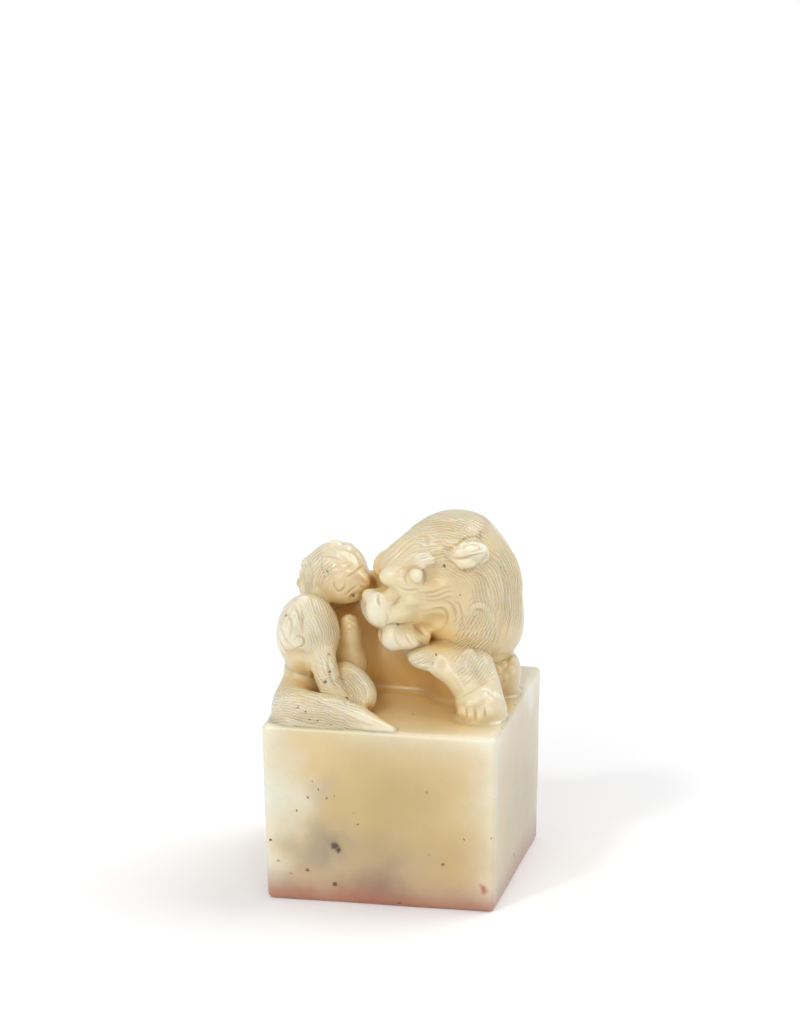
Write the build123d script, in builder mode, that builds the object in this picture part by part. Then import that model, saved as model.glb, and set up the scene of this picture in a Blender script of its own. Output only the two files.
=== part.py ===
"""Square stone seal with a mother lion and her cub carved on top, in millimetres.

X runs to the right along the front, Y to the back and Z up. The origin is the middle of the printing face.
The real seal is one stone. Each node is one carved form, and a smaller form ends where a larger one begins.
"""

import os
from math import cos, radians, sin

from build123d import *

os.makedirs("parts", exist_ok=True)

# Block
block_height = 28.2
block_top_width = 36.6
block_foot_width = 35.4
block_corner = 1.3
block_top_edge = 0.7
block_foot_edge = 1.0

# Printing face
face_thickness = 3.0
relief_depth = 1.0
border_width = 1.8
boss_width = 5.0
petal_length = 8.4
petal_width = 4.0
petal_count = 8
petal_root_overlap = 0.5
corner_leaf_length = 5.2
corner_leaf_width = 2.6
corner_leaf_gap = 1.0

# Carving over the block
knob_height = 29.6

# Mother's body
flank_thickness = 15.0
flank_height = 20.8
rump_width = 13.2
rump_depth = 16.4
rump_height = 17.2
left_haunch_width = 8.0
left_haunch_depth = 11.2
left_haunch_height = 13.6
right_haunch_width = 9.8
right_haunch_depth = 9.4
right_haunch_height = 12.6
chest_width = 12.0
chest_depth = 12.0
chest_height = 15.0
spine_knob_width = 1.9
spine_knob_count = 5

# Mother's head
mane_width = 20.0
mane_depth = 18.8
face_width = 14.4
face_height = 16.4
muzzle_width = 8.4
muzzle_height = 6.4
jaw_width = 7.2
jaw_height = 4.6
nose_width = 4.6
nose_depth = 2.8
nose_height = 2.5
eye_width = 2.4
brow_thickness = 2.4
ear_length = 6.6
ear_width = 3.8
ear_thickness = 3.0

# Mother's legs
foreleg_width = 14.0
foreleg_depth = 7.2
forepaw_width = 7.6
forepaw_length = 6.2
forepaw_height = 4.4
left_foreleg_width = 5.6
left_foreleg_depth = 6.4
left_foreleg_height = 8.4
hind_leg_width = 4.2
hind_paw_width = 5.0
hind_paw_length = 4.4
hind_paw_height = 3.0
knee_width = 3.9
tuft_width = 4.4
toe_width = 2.2

# Mother's tail
tail_root_width = 6.4
tail_width = 8.6
tail_height = 7.4

# Cub, from the middle of the mane to its own middle
cub_reach = 19.764
cub_setback = 1.098

# Cub's own forms
cub_body_width = 8.4
cub_body_height = 8.4
cub_head_width = 9.8
cub_head_depth = 9.0
cub_head_height = 9.6
cub_snout_width = 5.0
cub_snout_height = 4.8
cub_ear_width = 2.6
cub_leg_width = 3.2
cub_thigh_width = 4.4
cub_thigh_length = 7.0
cub_thigh_height = 5.6
cub_tail_width = 3.0
cub_tail_length = 5.4
cub_knob_width = 1.7
cub_knob_count = 6
cub_spine_lean = 50

half_width = block_top_width / 2
deck = Plane.XY.offset(block_height)
quarter_turn = 90
head_turn = -0.56 * quarter_turn
mane_middle_shares = (0.42, 0.19)
rump_middle_shares = (-0.60, 0.19)
whole_forms = []


def place(right_share, back_share, up_share):
    """A point of the carving, in shares of half the block's width and of the knob's height."""
    return Vector(half_width * right_share, half_width * back_share, block_height + knob_height * up_share)


def on_mane(right_share, back_share, up_share):
    """A point of the head, in shares of half the mane's width and depth from its middle."""
    middle = place(mane_middle_shares[0], mane_middle_shares[1], up_share)
    return middle + Vector(mane_width * right_share / 2, mane_depth * back_share / 2, 0)


def on_rump(right_share, back_share, up_share):
    """A point of the hindquarters, in shares of half the rump's width and depth from its middle."""
    middle = place(rump_middle_shares[0], rump_middle_shares[1], up_share)
    return middle + Vector(rump_width * right_share / 2, rump_depth * back_share / 2, 0)


def on_cub(right_share, back_share, up_share):
    """A point of the cub, in shares of its body's width from its middle."""
    middle = on_mane(0, 0, up_share) - Vector(cub_reach, -cub_setback, 0)
    return middle + Vector(cub_body_width * right_share, cub_body_width * back_share, 0)


def egg(width, depth, height):
    """A ball drawn out to three widths."""
    return Solid.make_sphere(1, angle1=-90, angle2=90, angle3=360).scale((width / 2, depth / 2, height / 2))


def level_ovals(stations, width, depth, seat=place):
    """Level ovals, one over another."""
    ovals = []
    for station in stations:
        with BuildSketch(Plane(seat(*station[:3]))) as oval:
            Ellipse(width * station[3] / 2, depth * station[4] / 2)
        ovals.append(oval.sketch)
    return ovals


def path_ovals(stations, width, height, seat=place):
    """Ovals square to the line through their middles, with their widths kept level."""
    middles = [seat(*station[:3]) for station in stations]
    ovals = []
    for index, station in enumerate(stations):
        onward = middles[min(index + 1, len(middles) - 1)] - middles[max(index - 1, 0)]
        side = onward.cross(Vector(0, 0, 1))
        with BuildSketch(Plane(middles[index], x_dir=side, z_dir=onward)) as oval:
            Ellipse(width * station[3] / 2, height * station[4] / 2)
        ovals.append(oval.sketch)
    return ovals


def facing(turn):
    """Level direction: to the front at no turn, and further to the right as the turn grows."""
    return Vector(sin(radians(turn)), -cos(radians(turn)), 0)


def along(stations, share):
    """The station at a share of the way through a list of stations."""
    whole_way = share * (len(stations) - 1)
    index = min(int(whole_way), len(stations) - 2)
    neighbours = zip(stations[index], stations[index + 1])
    return [before + (after - before) * (whole_way - index) for before, after in neighbours]


def boxes_meet(one, other):
    """Whether two bounding boxes share any room."""
    return (
        one.min.X < other.max.X and other.min.X < one.max.X
        and one.min.Y < other.max.Y and other.min.Y < one.max.Y
        and one.min.Z < other.max.Z and other.min.Z < one.max.Z
    )


def give_way(piece):
    """End the open form where a larger one begins, and at the deck."""
    whole = piece.part
    room = whole.bounding_box()
    for larger in whole_forms:
        if boxes_meet(room, larger.bounding_box()):
            add(larger, mode=Mode.SUBTRACT)
    split(bisect_by=deck, keep=Keep.TOP)
    whole_forms.append(whole)


def save(piece, name):
    """Label a finished form and write it."""
    piece.part.label = name
    export_step(piece.part, f"parts/{name}.step")


# The block, still whole from the printing face to the deck
with BuildPart() as blank:
    with BuildSketch() as foot_outline:
        RectangleRounded(block_foot_width, block_foot_width, block_corner)
    with BuildSketch(deck) as top_outline:
        RectangleRounded(block_top_width, block_top_width, block_corner)
    loft(ruled=True)
    fillet(blank.faces().sort_by(Axis.Z)[-1].edges(), block_top_edge)
    fillet(blank.faces().sort_by(Axis.Z)[0].edges(), block_foot_edge)

with BuildPart() as seal_block:
    add(blank.part)
    split(bisect_by=Plane.XY.offset(face_thickness), keep=Keep.TOP)
save(seal_block, "seal_block")

# The printing face: a plain border round a rosette, standing proud of the cut ground
field_width = block_foot_width - 2 * block_foot_edge - 2 * border_width
with BuildPart() as seal_face:
    add(blank.part)
    split(bisect_by=Plane.XY.offset(face_thickness), keep=Keep.BOTTOM)
    with BuildSketch() as ground:
        RectangleRounded(field_width, field_width, block_corner)
        Circle(boss_width / 2, mode=Mode.SUBTRACT)
        with PolarLocations(boss_width / 2 + petal_length / 2 - petal_root_overlap, petal_count):
            Ellipse(petal_length / 2, petal_width / 2, mode=Mode.SUBTRACT)
        corner_leaf_reach = field_width / 2 - corner_leaf_length / 2 - corner_leaf_gap
        with GridLocations(2 * corner_leaf_reach, 2 * corner_leaf_reach, 2, 2):
            Ellipse(corner_leaf_length / 2, corner_leaf_width / 2, mode=Mode.SUBTRACT)
    extrude(amount=relief_depth, mode=Mode.SUBTRACT)
save(seal_face, "seal_face")

# Mother's mane, the largest form of the carving
mane_shares = [
    (0.66, 0.21, 0.19, 0.36, 0.42),
    (0.62, 0.20, 0.26, 0.58, 0.64),
    (0.54, 0.19, 0.39, 0.83, 0.91),
    (0.46, 0.19, 0.53, 0.97, 0.99),
    (0.42, 0.19, 0.67, 0.99, 0.99),
    (0.40, 0.19, 0.80, 0.84, 0.87),
    (0.41, 0.19, 0.90, 0.60, 0.63),
    (0.42, 0.19, 0.96, 0.30, 0.32),
]
with BuildPart() as mother_mane:
    loft(sections=level_ovals(mane_shares, mane_width, mane_depth))
    give_way(mother_mane)
save(mother_mane, "mother_mane")

# Mother's flank, which closes the back of the hollow
flank_shares = [
    (0.46, 0.30, 0.16, 0.80, 0.86),
    (0.25, 0.45, 0.16, 0.96, 0.97),
    (-0.05, 0.50, 0.16, 1.00, 1.00),
    (-0.33, 0.46, 0.16, 0.98, 0.98),
    (-0.52, 0.34, 0.16, 0.82, 0.88),
]
with BuildPart() as mother_flank:
    loft(sections=path_ovals(flank_shares, flank_thickness, flank_height))
    give_way(mother_flank)
save(mother_flank, "mother_flank")

with BuildPart() as mother_rump:
    with Locations(on_rump(0, 0, 0.21)):
        add(egg(rump_width, rump_depth, rump_height))
    give_way(mother_rump)
save(mother_rump, "mother_rump")

with BuildPart() as mother_right_haunch:
    with Locations(on_rump(-0.360, -1.227, 0.38)):
        add(egg(right_haunch_width, right_haunch_depth, right_haunch_height))
    give_way(mother_right_haunch)
save(mother_right_haunch, "mother_right_haunch")

with BuildPart() as mother_left_haunch:
    with Locations(on_rump(-0.471, 0.335, 0.20)):
        add(egg(left_haunch_width, left_haunch_depth, left_haunch_height))
    give_way(mother_left_haunch)
save(mother_left_haunch, "mother_left_haunch")

with BuildPart() as mother_chest:
    with Locations(on_mane(0.238, -0.097, 0.16)):
        add(egg(chest_width, chest_depth, chest_height))
    give_way(mother_chest)
save(mother_chest, "mother_chest")

# Mother's face, turned back to the left over her own shoulder
face_shares = [
    (-0.073, -0.195, 0.62, 0.80, 0.82),
    (-0.274, -0.350, 0.63, 1.00, 1.00),
    (-0.512, -0.545, 0.63, 0.95, 0.95),
    (-0.714, -0.720, 0.61, 0.82, 0.80),
    (-0.878, -0.857, 0.59, 0.58, 0.56),
]
with BuildPart() as mother_face:
    loft(sections=path_ovals(face_shares, face_width, face_height, on_mane))
    give_way(mother_face)
save(mother_face, "mother_face")

muzzle_shares = [
    (-0.677, -0.759, 0.53, 1.00, 0.94),
    (-0.878, -0.934, 0.53, 0.98, 1.00),
    (-1.043, -1.071, 0.53, 0.86, 0.92),
    (-1.135, -1.168, 0.52, 0.50, 0.56),
]
with BuildPart() as mother_muzzle:
    loft(sections=path_ovals(muzzle_shares, muzzle_width, muzzle_height, on_mane))
    give_way(mother_muzzle)
save(mother_muzzle, "mother_muzzle")

jaw_shares = [
    (-0.421, -0.662, 0.40, 0.98, 1.00),
    (-0.640, -0.857, 0.39, 0.95, 1.00),
    (-0.842, -1.032, 0.39, 0.76, 0.86),
    (-0.933, -1.110, 0.40, 0.44, 0.50),
]
with BuildPart() as mother_lower_jaw:
    loft(sections=path_ovals(jaw_shares, jaw_width, jaw_height, on_mane))
    give_way(mother_lower_jaw)
save(mother_lower_jaw, "mother_lower_jaw")

with BuildPart() as mother_nose:
    with Locations(Location(on_mane(-1.098, -1.090, 0.60), (0, 0, head_turn))):
        add(egg(nose_width, nose_depth, nose_height))
    give_way(mother_nose)
save(mother_nose, "mother_nose")

for side_name, eye_shares in {"left": (-0.329, -1.129, 0.755), "right": (-1.080, -0.487, 0.675)}.items():
    with BuildPart() as mother_eye:
        with Locations(on_mane(*eye_shares)):
            add(egg(eye_width, eye_width, eye_width))
        give_way(mother_eye)
    save(mother_eye, f"mother_{side_name}_eye")

brow_shares = {
    "left": [
        (-0.714, -0.954, 0.735, 0.45, 0.45),
        (-0.549, -1.012, 0.785, 0.90, 0.90),
        (-0.329, -1.071, 0.815, 1.00, 1.00),
        (-0.110, -1.051, 0.805, 0.45, 0.45),
    ],
    "right": [
        (-1.061, -0.759, 0.690, 0.45, 0.45),
        (-1.080, -0.545, 0.725, 0.90, 0.90),
        (-1.007, -0.311, 0.745, 1.00, 1.00),
        (-0.823, -0.117, 0.740, 0.45, 0.45),
    ],
}
for side_name, stations in brow_shares.items():
    with BuildPart() as mother_brow:
        loft(sections=path_ovals(stations, brow_thickness, brow_thickness, on_mane))
        give_way(mother_brow)
    save(mother_brow, f"mother_{side_name}_brow")

ears = {"left": ((0.348, -0.759, 0.82), 0.22), "right": ((-0.622, 0.487, 0.80), 0.67)}
for side_name, (ear_shares, turn_share) in ears.items():
    with BuildPart() as mother_ear:
        with Locations(Location(on_mane(*ear_shares), (0, 0, turn_share * quarter_turn))):
            add(egg(ear_length, ear_thickness, ear_width))
        give_way(mother_ear)
    save(mother_ear, f"mother_{side_name}_ear")

# Mother's forelegs
right_foreleg_shares = [
    (0.631, -1.207, 0.00, 0.58, 0.90),
    (0.622, -1.188, 0.04, 0.55, 0.86),
    (0.531, -1.090, 0.12, 0.58, 0.86),
    (0.256, -0.934, 0.22, 0.80, 0.94),
    (-0.037, -0.759, 0.30, 1.00, 1.00),
    (-0.073, -0.701, 0.34, 0.70, 0.70),
]
with BuildPart() as mother_right_foreleg:
    loft(sections=level_ovals(right_foreleg_shares, foreleg_width, foreleg_depth, on_mane))
    give_way(mother_right_foreleg)
save(mother_right_foreleg, "mother_right_foreleg")

forepaw_shares = (0.641, -1.265)
forepaw_turn = 0.1 * quarter_turn
toe_spread = 0.45 * quarter_turn
with BuildPart() as mother_right_forepaw:
    with Locations(Location(on_mane(*forepaw_shares, 0.05), (0, 0, forepaw_turn))):
        add(egg(forepaw_width, forepaw_length, forepaw_height))
    for toe_place in (-1.5, -0.5, 0.5, 1.5):
        toe_reach = facing(forepaw_turn + toe_spread * toe_place) * (forepaw_length / 2 - toe_width / 4)
        with Locations(on_mane(*forepaw_shares, 0.03) + toe_reach):
            add(egg(toe_width, toe_width, forepaw_height / 2))
    give_way(mother_right_forepaw)
save(mother_right_forepaw, "mother_right_forepaw")

with BuildPart() as mother_left_foreleg:
    with Locations(on_mane(0.732, 0.058, 0.11)):
        add(egg(left_foreleg_width, left_foreleg_depth, left_foreleg_height))
    give_way(mother_left_foreleg)
save(mother_left_foreleg, "mother_left_foreleg")

# Mother's hind legs
right_hind_leg_shares = [
    (0.000, -1.473, 0.32, 1.00, 1.05),
    (0.166, -1.651, 0.22, 0.95, 0.95),
    (0.388, -1.785, 0.12, 0.90, 0.90),
    (0.665, -1.897, 0.06, 0.90, 0.80),
]
with BuildPart() as mother_right_hind_leg:
    loft(sections=path_ovals(right_hind_leg_shares, hind_leg_width, hind_leg_width, on_rump))
    give_way(mother_right_hind_leg)
save(mother_right_hind_leg, "mother_right_hind_leg")

hind_paws = {"right": ((0.915, -1.986, 0.035), 0.67), "left": ((-0.665, -0.290, 0.035), -0.05)}
for side_name, (paw_shares, turn_share) in hind_paws.items():
    with BuildPart() as mother_hind_paw:
        with Locations(Location(on_rump(*paw_shares), (0, 0, turn_share * quarter_turn))):
            add(egg(hind_paw_width, hind_paw_length, hind_paw_height))
        give_way(mother_hind_paw)
    save(mother_hind_paw, f"mother_{side_name}_hind_paw")

knee_shares = [
    (0.499, -0.781, 0.00, 1.15, 1.15),
    (0.499, -0.781, 0.10, 0.95, 0.95),
    (0.499, -0.781, 0.24, 0.90, 0.90),
    (0.499, -0.781, 0.36, 1.00, 1.00),
    (0.499, -0.759, 0.44, 0.55, 0.55),
]
with BuildPart() as mother_right_knee:
    loft(sections=level_ovals(knee_shares, knee_width, knee_width, on_rump))
    give_way(mother_right_knee)
save(mother_right_knee, "mother_right_knee")

tuft_shares = [
    (0.277, -1.183, 0.17, 0.60, 0.80),
    (0.665, -1.317, 0.16, 0.95, 1.00),
    (0.970, -1.495, 0.11, 1.00, 1.00),
    (1.054, -1.718, 0.04, 0.80, 0.70),
]
with BuildPart() as mother_hock_tuft:
    loft(sections=path_ovals(tuft_shares, tuft_width, tuft_width, on_rump))
    give_way(mother_hock_tuft)
save(mother_hock_tuft, "mother_hock_tuft")

# Mother's tail, which sweeps round the front left corner of the deck
tail_shares = [
    (-0.80, -0.20, 0.04, 0.50, 0.60),
    (-0.84, -0.48, 0.04, 0.80, 0.85),
    (-0.70, -0.74, 0.02, 1.00, 1.00),
    (-0.36, -0.82, 0.02, 0.84, 0.84),
    (-0.05, -0.88, 0.00, 0.46, 0.48),
    (0.12, -0.91, 0.00, 0.14, 0.16),
]
tail_limit_width = block_top_width - 2 * block_top_edge
with BuildPart() as mother_tail:
    loft(sections=path_ovals(tail_shares, tail_width, tail_height))
    with BuildSketch(deck) as tail_limit:
        RectangleRounded(tail_limit_width, tail_limit_width, block_corner)
    extrude(amount=tail_height, both=True, mode=Mode.INTERSECT)
    give_way(mother_tail)
save(mother_tail, "mother_tail")

tail_root_shares = [
    (-0.499, -1.205, 0.06, 1.00, 0.80),
    (-0.499, -1.205, 0.14, 0.96, 0.76),
    (-0.499, -1.183, 0.26, 0.86, 0.70),
]
with BuildPart() as mother_tail_root:
    loft(sections=level_ovals(tail_root_shares, tail_root_width, tail_root_width, on_rump))
    give_way(mother_tail_root)
save(mother_tail_root, "mother_tail_root")

# The cub, which climbs over its mother's rump from behind
cub_body_shares = [
    (0.000, 0.762, 0.42, 0.70, 0.72),
    (-0.087, 0.392, 0.49, 0.95, 0.95),
    (-0.109, -0.065, 0.54, 1.00, 1.00),
    (0.000, -0.436, 0.59, 0.90, 0.92),
]
with BuildPart() as cub_body:
    loft(sections=path_ovals(cub_body_shares, cub_body_width, cub_body_height, on_cub))
    give_way(cub_body)
save(cub_body, "cub_body")

cub_head_middle = on_cub(0.218, -0.545, 0.65)
with BuildPart() as cub_head:
    with Locations(cub_head_middle):
        add(egg(cub_head_width, cub_head_depth, cub_head_height))
    give_way(cub_head)
save(cub_head, "cub_head")

cub_snout_shares = [
    (0.523, -0.632, 0.62, 1.00, 1.00),
    (0.741, -0.719, 0.61, 0.94, 0.92),
    (0.850, -0.762, 0.60, 0.55, 0.55),
]
with BuildPart() as cub_snout:
    loft(sections=path_ovals(cub_snout_shares, cub_snout_width, cub_snout_height, on_cub))
    give_way(cub_snout)
save(cub_snout, "cub_snout")

cub_ear_shares = {"left": (0.26, 0.45, 0.62), "right": (-0.78, -0.16, 0.31)}
for side_name, (right_share, back_share, up_share) in cub_ear_shares.items():
    head_place = Vector(cub_head_width * right_share, cub_head_depth * back_share, cub_head_height * up_share)
    with BuildPart() as cub_ear:
        with Locations(cub_head_middle + head_place / 2):
            add(egg(cub_ear_width, cub_ear_width, cub_ear_width))
        give_way(cub_ear)
    save(cub_ear, f"cub_{side_name}_ear")

cub_foreleg_shares = {
    "left": [
        (0.349, -0.065, 0.50, 0.95, 1.00),
        (0.610, -0.240, 0.55, 1.00, 1.00),
        (0.850, -0.349, 0.60, 0.95, 0.95),
        (1.024, -0.414, 0.64, 0.60, 0.60),
    ],
    "right": [
        (-0.174, -0.327, 0.54, 0.90, 0.90),
        (-0.218, -0.632, 0.57, 1.00, 1.00),
        (-0.152, -0.893, 0.57, 0.90, 0.90),
        (-0.044, -1.067, 0.56, 0.55, 0.55),
    ],
}
for side_name, stations in cub_foreleg_shares.items():
    with BuildPart() as cub_foreleg:
        loft(sections=path_ovals(stations, cub_leg_width, cub_leg_width, on_cub))
        give_way(cub_foreleg)
    save(cub_foreleg, f"cub_{side_name}_foreleg")

for side_name, side_shares in {"left": (0.392, 0.632, 0.44), "right": (-0.392, 0.632, 0.42)}.items():
    with BuildPart() as cub_thigh:
        with Locations(on_cub(*side_shares)):
            add(egg(cub_thigh_width, cub_thigh_length, cub_thigh_height))
        give_way(cub_thigh)
    save(cub_thigh, f"cub_{side_name}_thigh")

with BuildPart() as cub_tail:
    with Locations(on_cub(0.000, 1.111, 0.40)):
        add(egg(cub_tail_width, cub_tail_length, cub_tail_width))
    give_way(cub_tail)
save(cub_tail, "cub_tail")

# Rows of round knobs along both spines
spine_start_share = 0.40
spine_run_share = 0.42
with BuildPart() as mother_spine:
    for index in range(spine_knob_count):
        station = along(flank_shares, spine_start_share + spine_run_share * index / (spine_knob_count - 1))
        ridge = Vector(0, 0, flank_height * station[4] / 2)
        with Locations(place(*station[:3]) + ridge):
            add(egg(spine_knob_width, spine_knob_width, spine_knob_width))
    give_way(mother_spine)
save(mother_spine, "mother_spine")

cub_spine_start_share = 0.08
cub_spine_run_share = 0.80
with BuildPart() as cub_spine:
    for index in range(cub_knob_count):
        run_share = cub_spine_run_share * index / (cub_knob_count - 1)
        station = along(cub_body_shares, cub_spine_start_share + run_share)
        outward = -sin(radians(cub_spine_lean)) * cub_body_width * station[3] / 2
        upward = cos(radians(cub_spine_lean)) * cub_body_height * station[4] / 2
        with Locations(on_cub(*station[:3]) + Vector(outward, 0, upward)):
            add(egg(cub_knob_width, cub_knob_width, cub_knob_width))
    give_way(cub_spine)
save(cub_spine, "cub_spine")
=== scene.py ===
import math

import bpy
import numpy as np
import openvdb
from mathutils import Matrix, Vector


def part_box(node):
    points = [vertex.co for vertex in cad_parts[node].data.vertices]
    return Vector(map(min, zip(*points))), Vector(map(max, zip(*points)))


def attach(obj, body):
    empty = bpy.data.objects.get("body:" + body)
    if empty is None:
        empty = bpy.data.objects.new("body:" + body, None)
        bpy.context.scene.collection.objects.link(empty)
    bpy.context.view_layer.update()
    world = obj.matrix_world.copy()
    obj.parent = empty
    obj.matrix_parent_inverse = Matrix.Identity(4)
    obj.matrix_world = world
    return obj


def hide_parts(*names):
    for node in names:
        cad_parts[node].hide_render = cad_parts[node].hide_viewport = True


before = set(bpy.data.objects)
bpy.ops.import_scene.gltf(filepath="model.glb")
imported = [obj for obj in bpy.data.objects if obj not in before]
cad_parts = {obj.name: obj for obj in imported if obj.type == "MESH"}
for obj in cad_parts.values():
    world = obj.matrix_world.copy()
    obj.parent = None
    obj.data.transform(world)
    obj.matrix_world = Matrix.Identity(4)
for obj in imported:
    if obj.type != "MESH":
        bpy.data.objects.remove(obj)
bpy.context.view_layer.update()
mm = 0.001  # the carving below is in millimetres, the finished pieces are in metres

# The camera, at the photograph's angle. Its rays also place the engraved strokes.
cameraView = {
    "azimuth": 12.0,
    "elevation": 19.1,
    "roll": -0.34,
    "distance": 1100.0,
    "aim": (0.0, 0.0, 14.1),
    "aimPixel": (401.7, 781.5),
    "pixelsPerMm": 6.46,
    "frame": (800, 1018),
    "sensor": 36.0,
}


class Eye:
    # The camera as numbers: where it is, how it is turned, and the ray through a pixel
    def __init__(self, settings):
        azimuth = math.radians(settings["azimuth"])
        elevation = math.radians(settings["elevation"])
        level = math.cos(elevation)
        right = np.array([math.cos(azimuth), math.sin(azimuth), 0.0])
        back = np.array([math.sin(azimuth) * level, -math.cos(azimuth) * level, math.sin(elevation)])
        up = np.cross(back, right)
        self.place = np.array(settings["aim"]) + back * settings["distance"]
        self.focal = settings["pixelsPerMm"] * settings["distance"]
        self.centre = np.array(settings["frame"]) / 2
        tilt = math.atan2(settings["aimPixel"][1] - self.centre[1], self.focal)
        pan = math.atan2(settings["aimPixel"][0] - self.centre[0], self.focal)
        turn = Matrix.Rotation(tilt, 3, "X") @ Matrix.Rotation(pan, 3, "Y")
        turn = turn @ Matrix.Rotation(math.radians(settings["roll"]), 3, "Z")
        self.turn = np.column_stack([right, up, back]) @ np.array(turn)

    def rays(self, pixels):
        pixels = np.asarray(pixels, float)
        across = (pixels[:, 0] - self.centre[0]) / self.focal
        upward = (self.centre[1] - pixels[:, 1]) / self.focal
        rays = np.column_stack([across, upward, -np.ones(len(pixels))]) @ self.turn.T
        return rays / np.linalg.norm(rays, axis=1)[:, None]

    def pixels(self, points):
        local = (np.asarray(points) - self.place) @ self.turn
        across = self.centre[0] - local[:, 0] / local[:, 2] * self.focal
        downward = self.centre[1] + local[:, 1] / local[:, 2] * self.focal
        return np.column_stack([across, downward])


eye = Eye(cameraView)
print("block centre shows at", eye.pixels([cameraView["aim"]]).round(1).tolist())


class Wire:
    # One output of a node. Python's operators on it add Math nodes.
    def __init__(self, board, socket):
        self.board = board
        self.socket = socket

    def maths(self, operation, *others):
        return self.board.add("ShaderNodeMath", {"operation": operation}, [self, *others])

    def __add__(self, other):
        return self.maths("ADD", other)

    def __radd__(self, other):
        return self.maths("ADD", other)

    def __sub__(self, other):
        return self.maths("SUBTRACT", other)

    def __rsub__(self, other):
        return self.board.add("ShaderNodeMath", {"operation": "SUBTRACT"}, [other, self])

    def __mul__(self, other):
        return self.maths("MULTIPLY", other)

    def __rmul__(self, other):
        return self.maths("MULTIPLY", other)


class Board:
    # A node tree, with one method that adds any node
    def __init__(self, tree):
        self.tree = tree
        self.tree.nodes.clear()

    def add(self, kind, settings=None, inputs=None, output=0):
        node = self.tree.nodes.new(kind)
        for key, value in (settings or {}).items():
            if key == "stops":
                self.setStops(node.color_ramp, value)
            else:
                setattr(node, key, value)
        pairs = inputs.items() if isinstance(inputs, dict) else enumerate(inputs or [])
        for key, value in pairs:
            if isinstance(value, Wire):
                self.tree.links.new(value.socket, node.inputs[key])
            else:
                node.inputs[key].default_value = value
        return Wire(self, node.outputs[output]) if node.outputs else node

    def setStops(self, ramp, stops):
        while len(ramp.elements) < len(stops):
            ramp.elements.new(1.0)
        for element, (position, colour) in zip(ramp.elements, stops):
            element.position = position
            element.color = colour


def pointsOf(piece):  # vertices in millimetres and triangles of a mesh object
    mesh = piece.data
    mesh.calc_loop_triangles()
    points = np.empty(len(mesh.vertices) * 3, np.float32)
    mesh.vertices.foreach_get("co", points)
    triangles = np.empty(len(mesh.loop_triangles) * 3, np.int32)
    mesh.loop_triangles.foreach_get("vertices", triangles)
    return points.reshape(-1, 3) / mm, triangles.reshape(-1, 3).astype(np.uint32)


def softMin(one, other, blend):  # the lesser of two distances, rounded where they are nearly equal
    near = np.maximum(blend - np.abs(one - other), 0) / blend
    return np.minimum(one, other) - near * near * (blend / 4)


clayBand = 2.0  # how far from a surface its distances are kept


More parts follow.
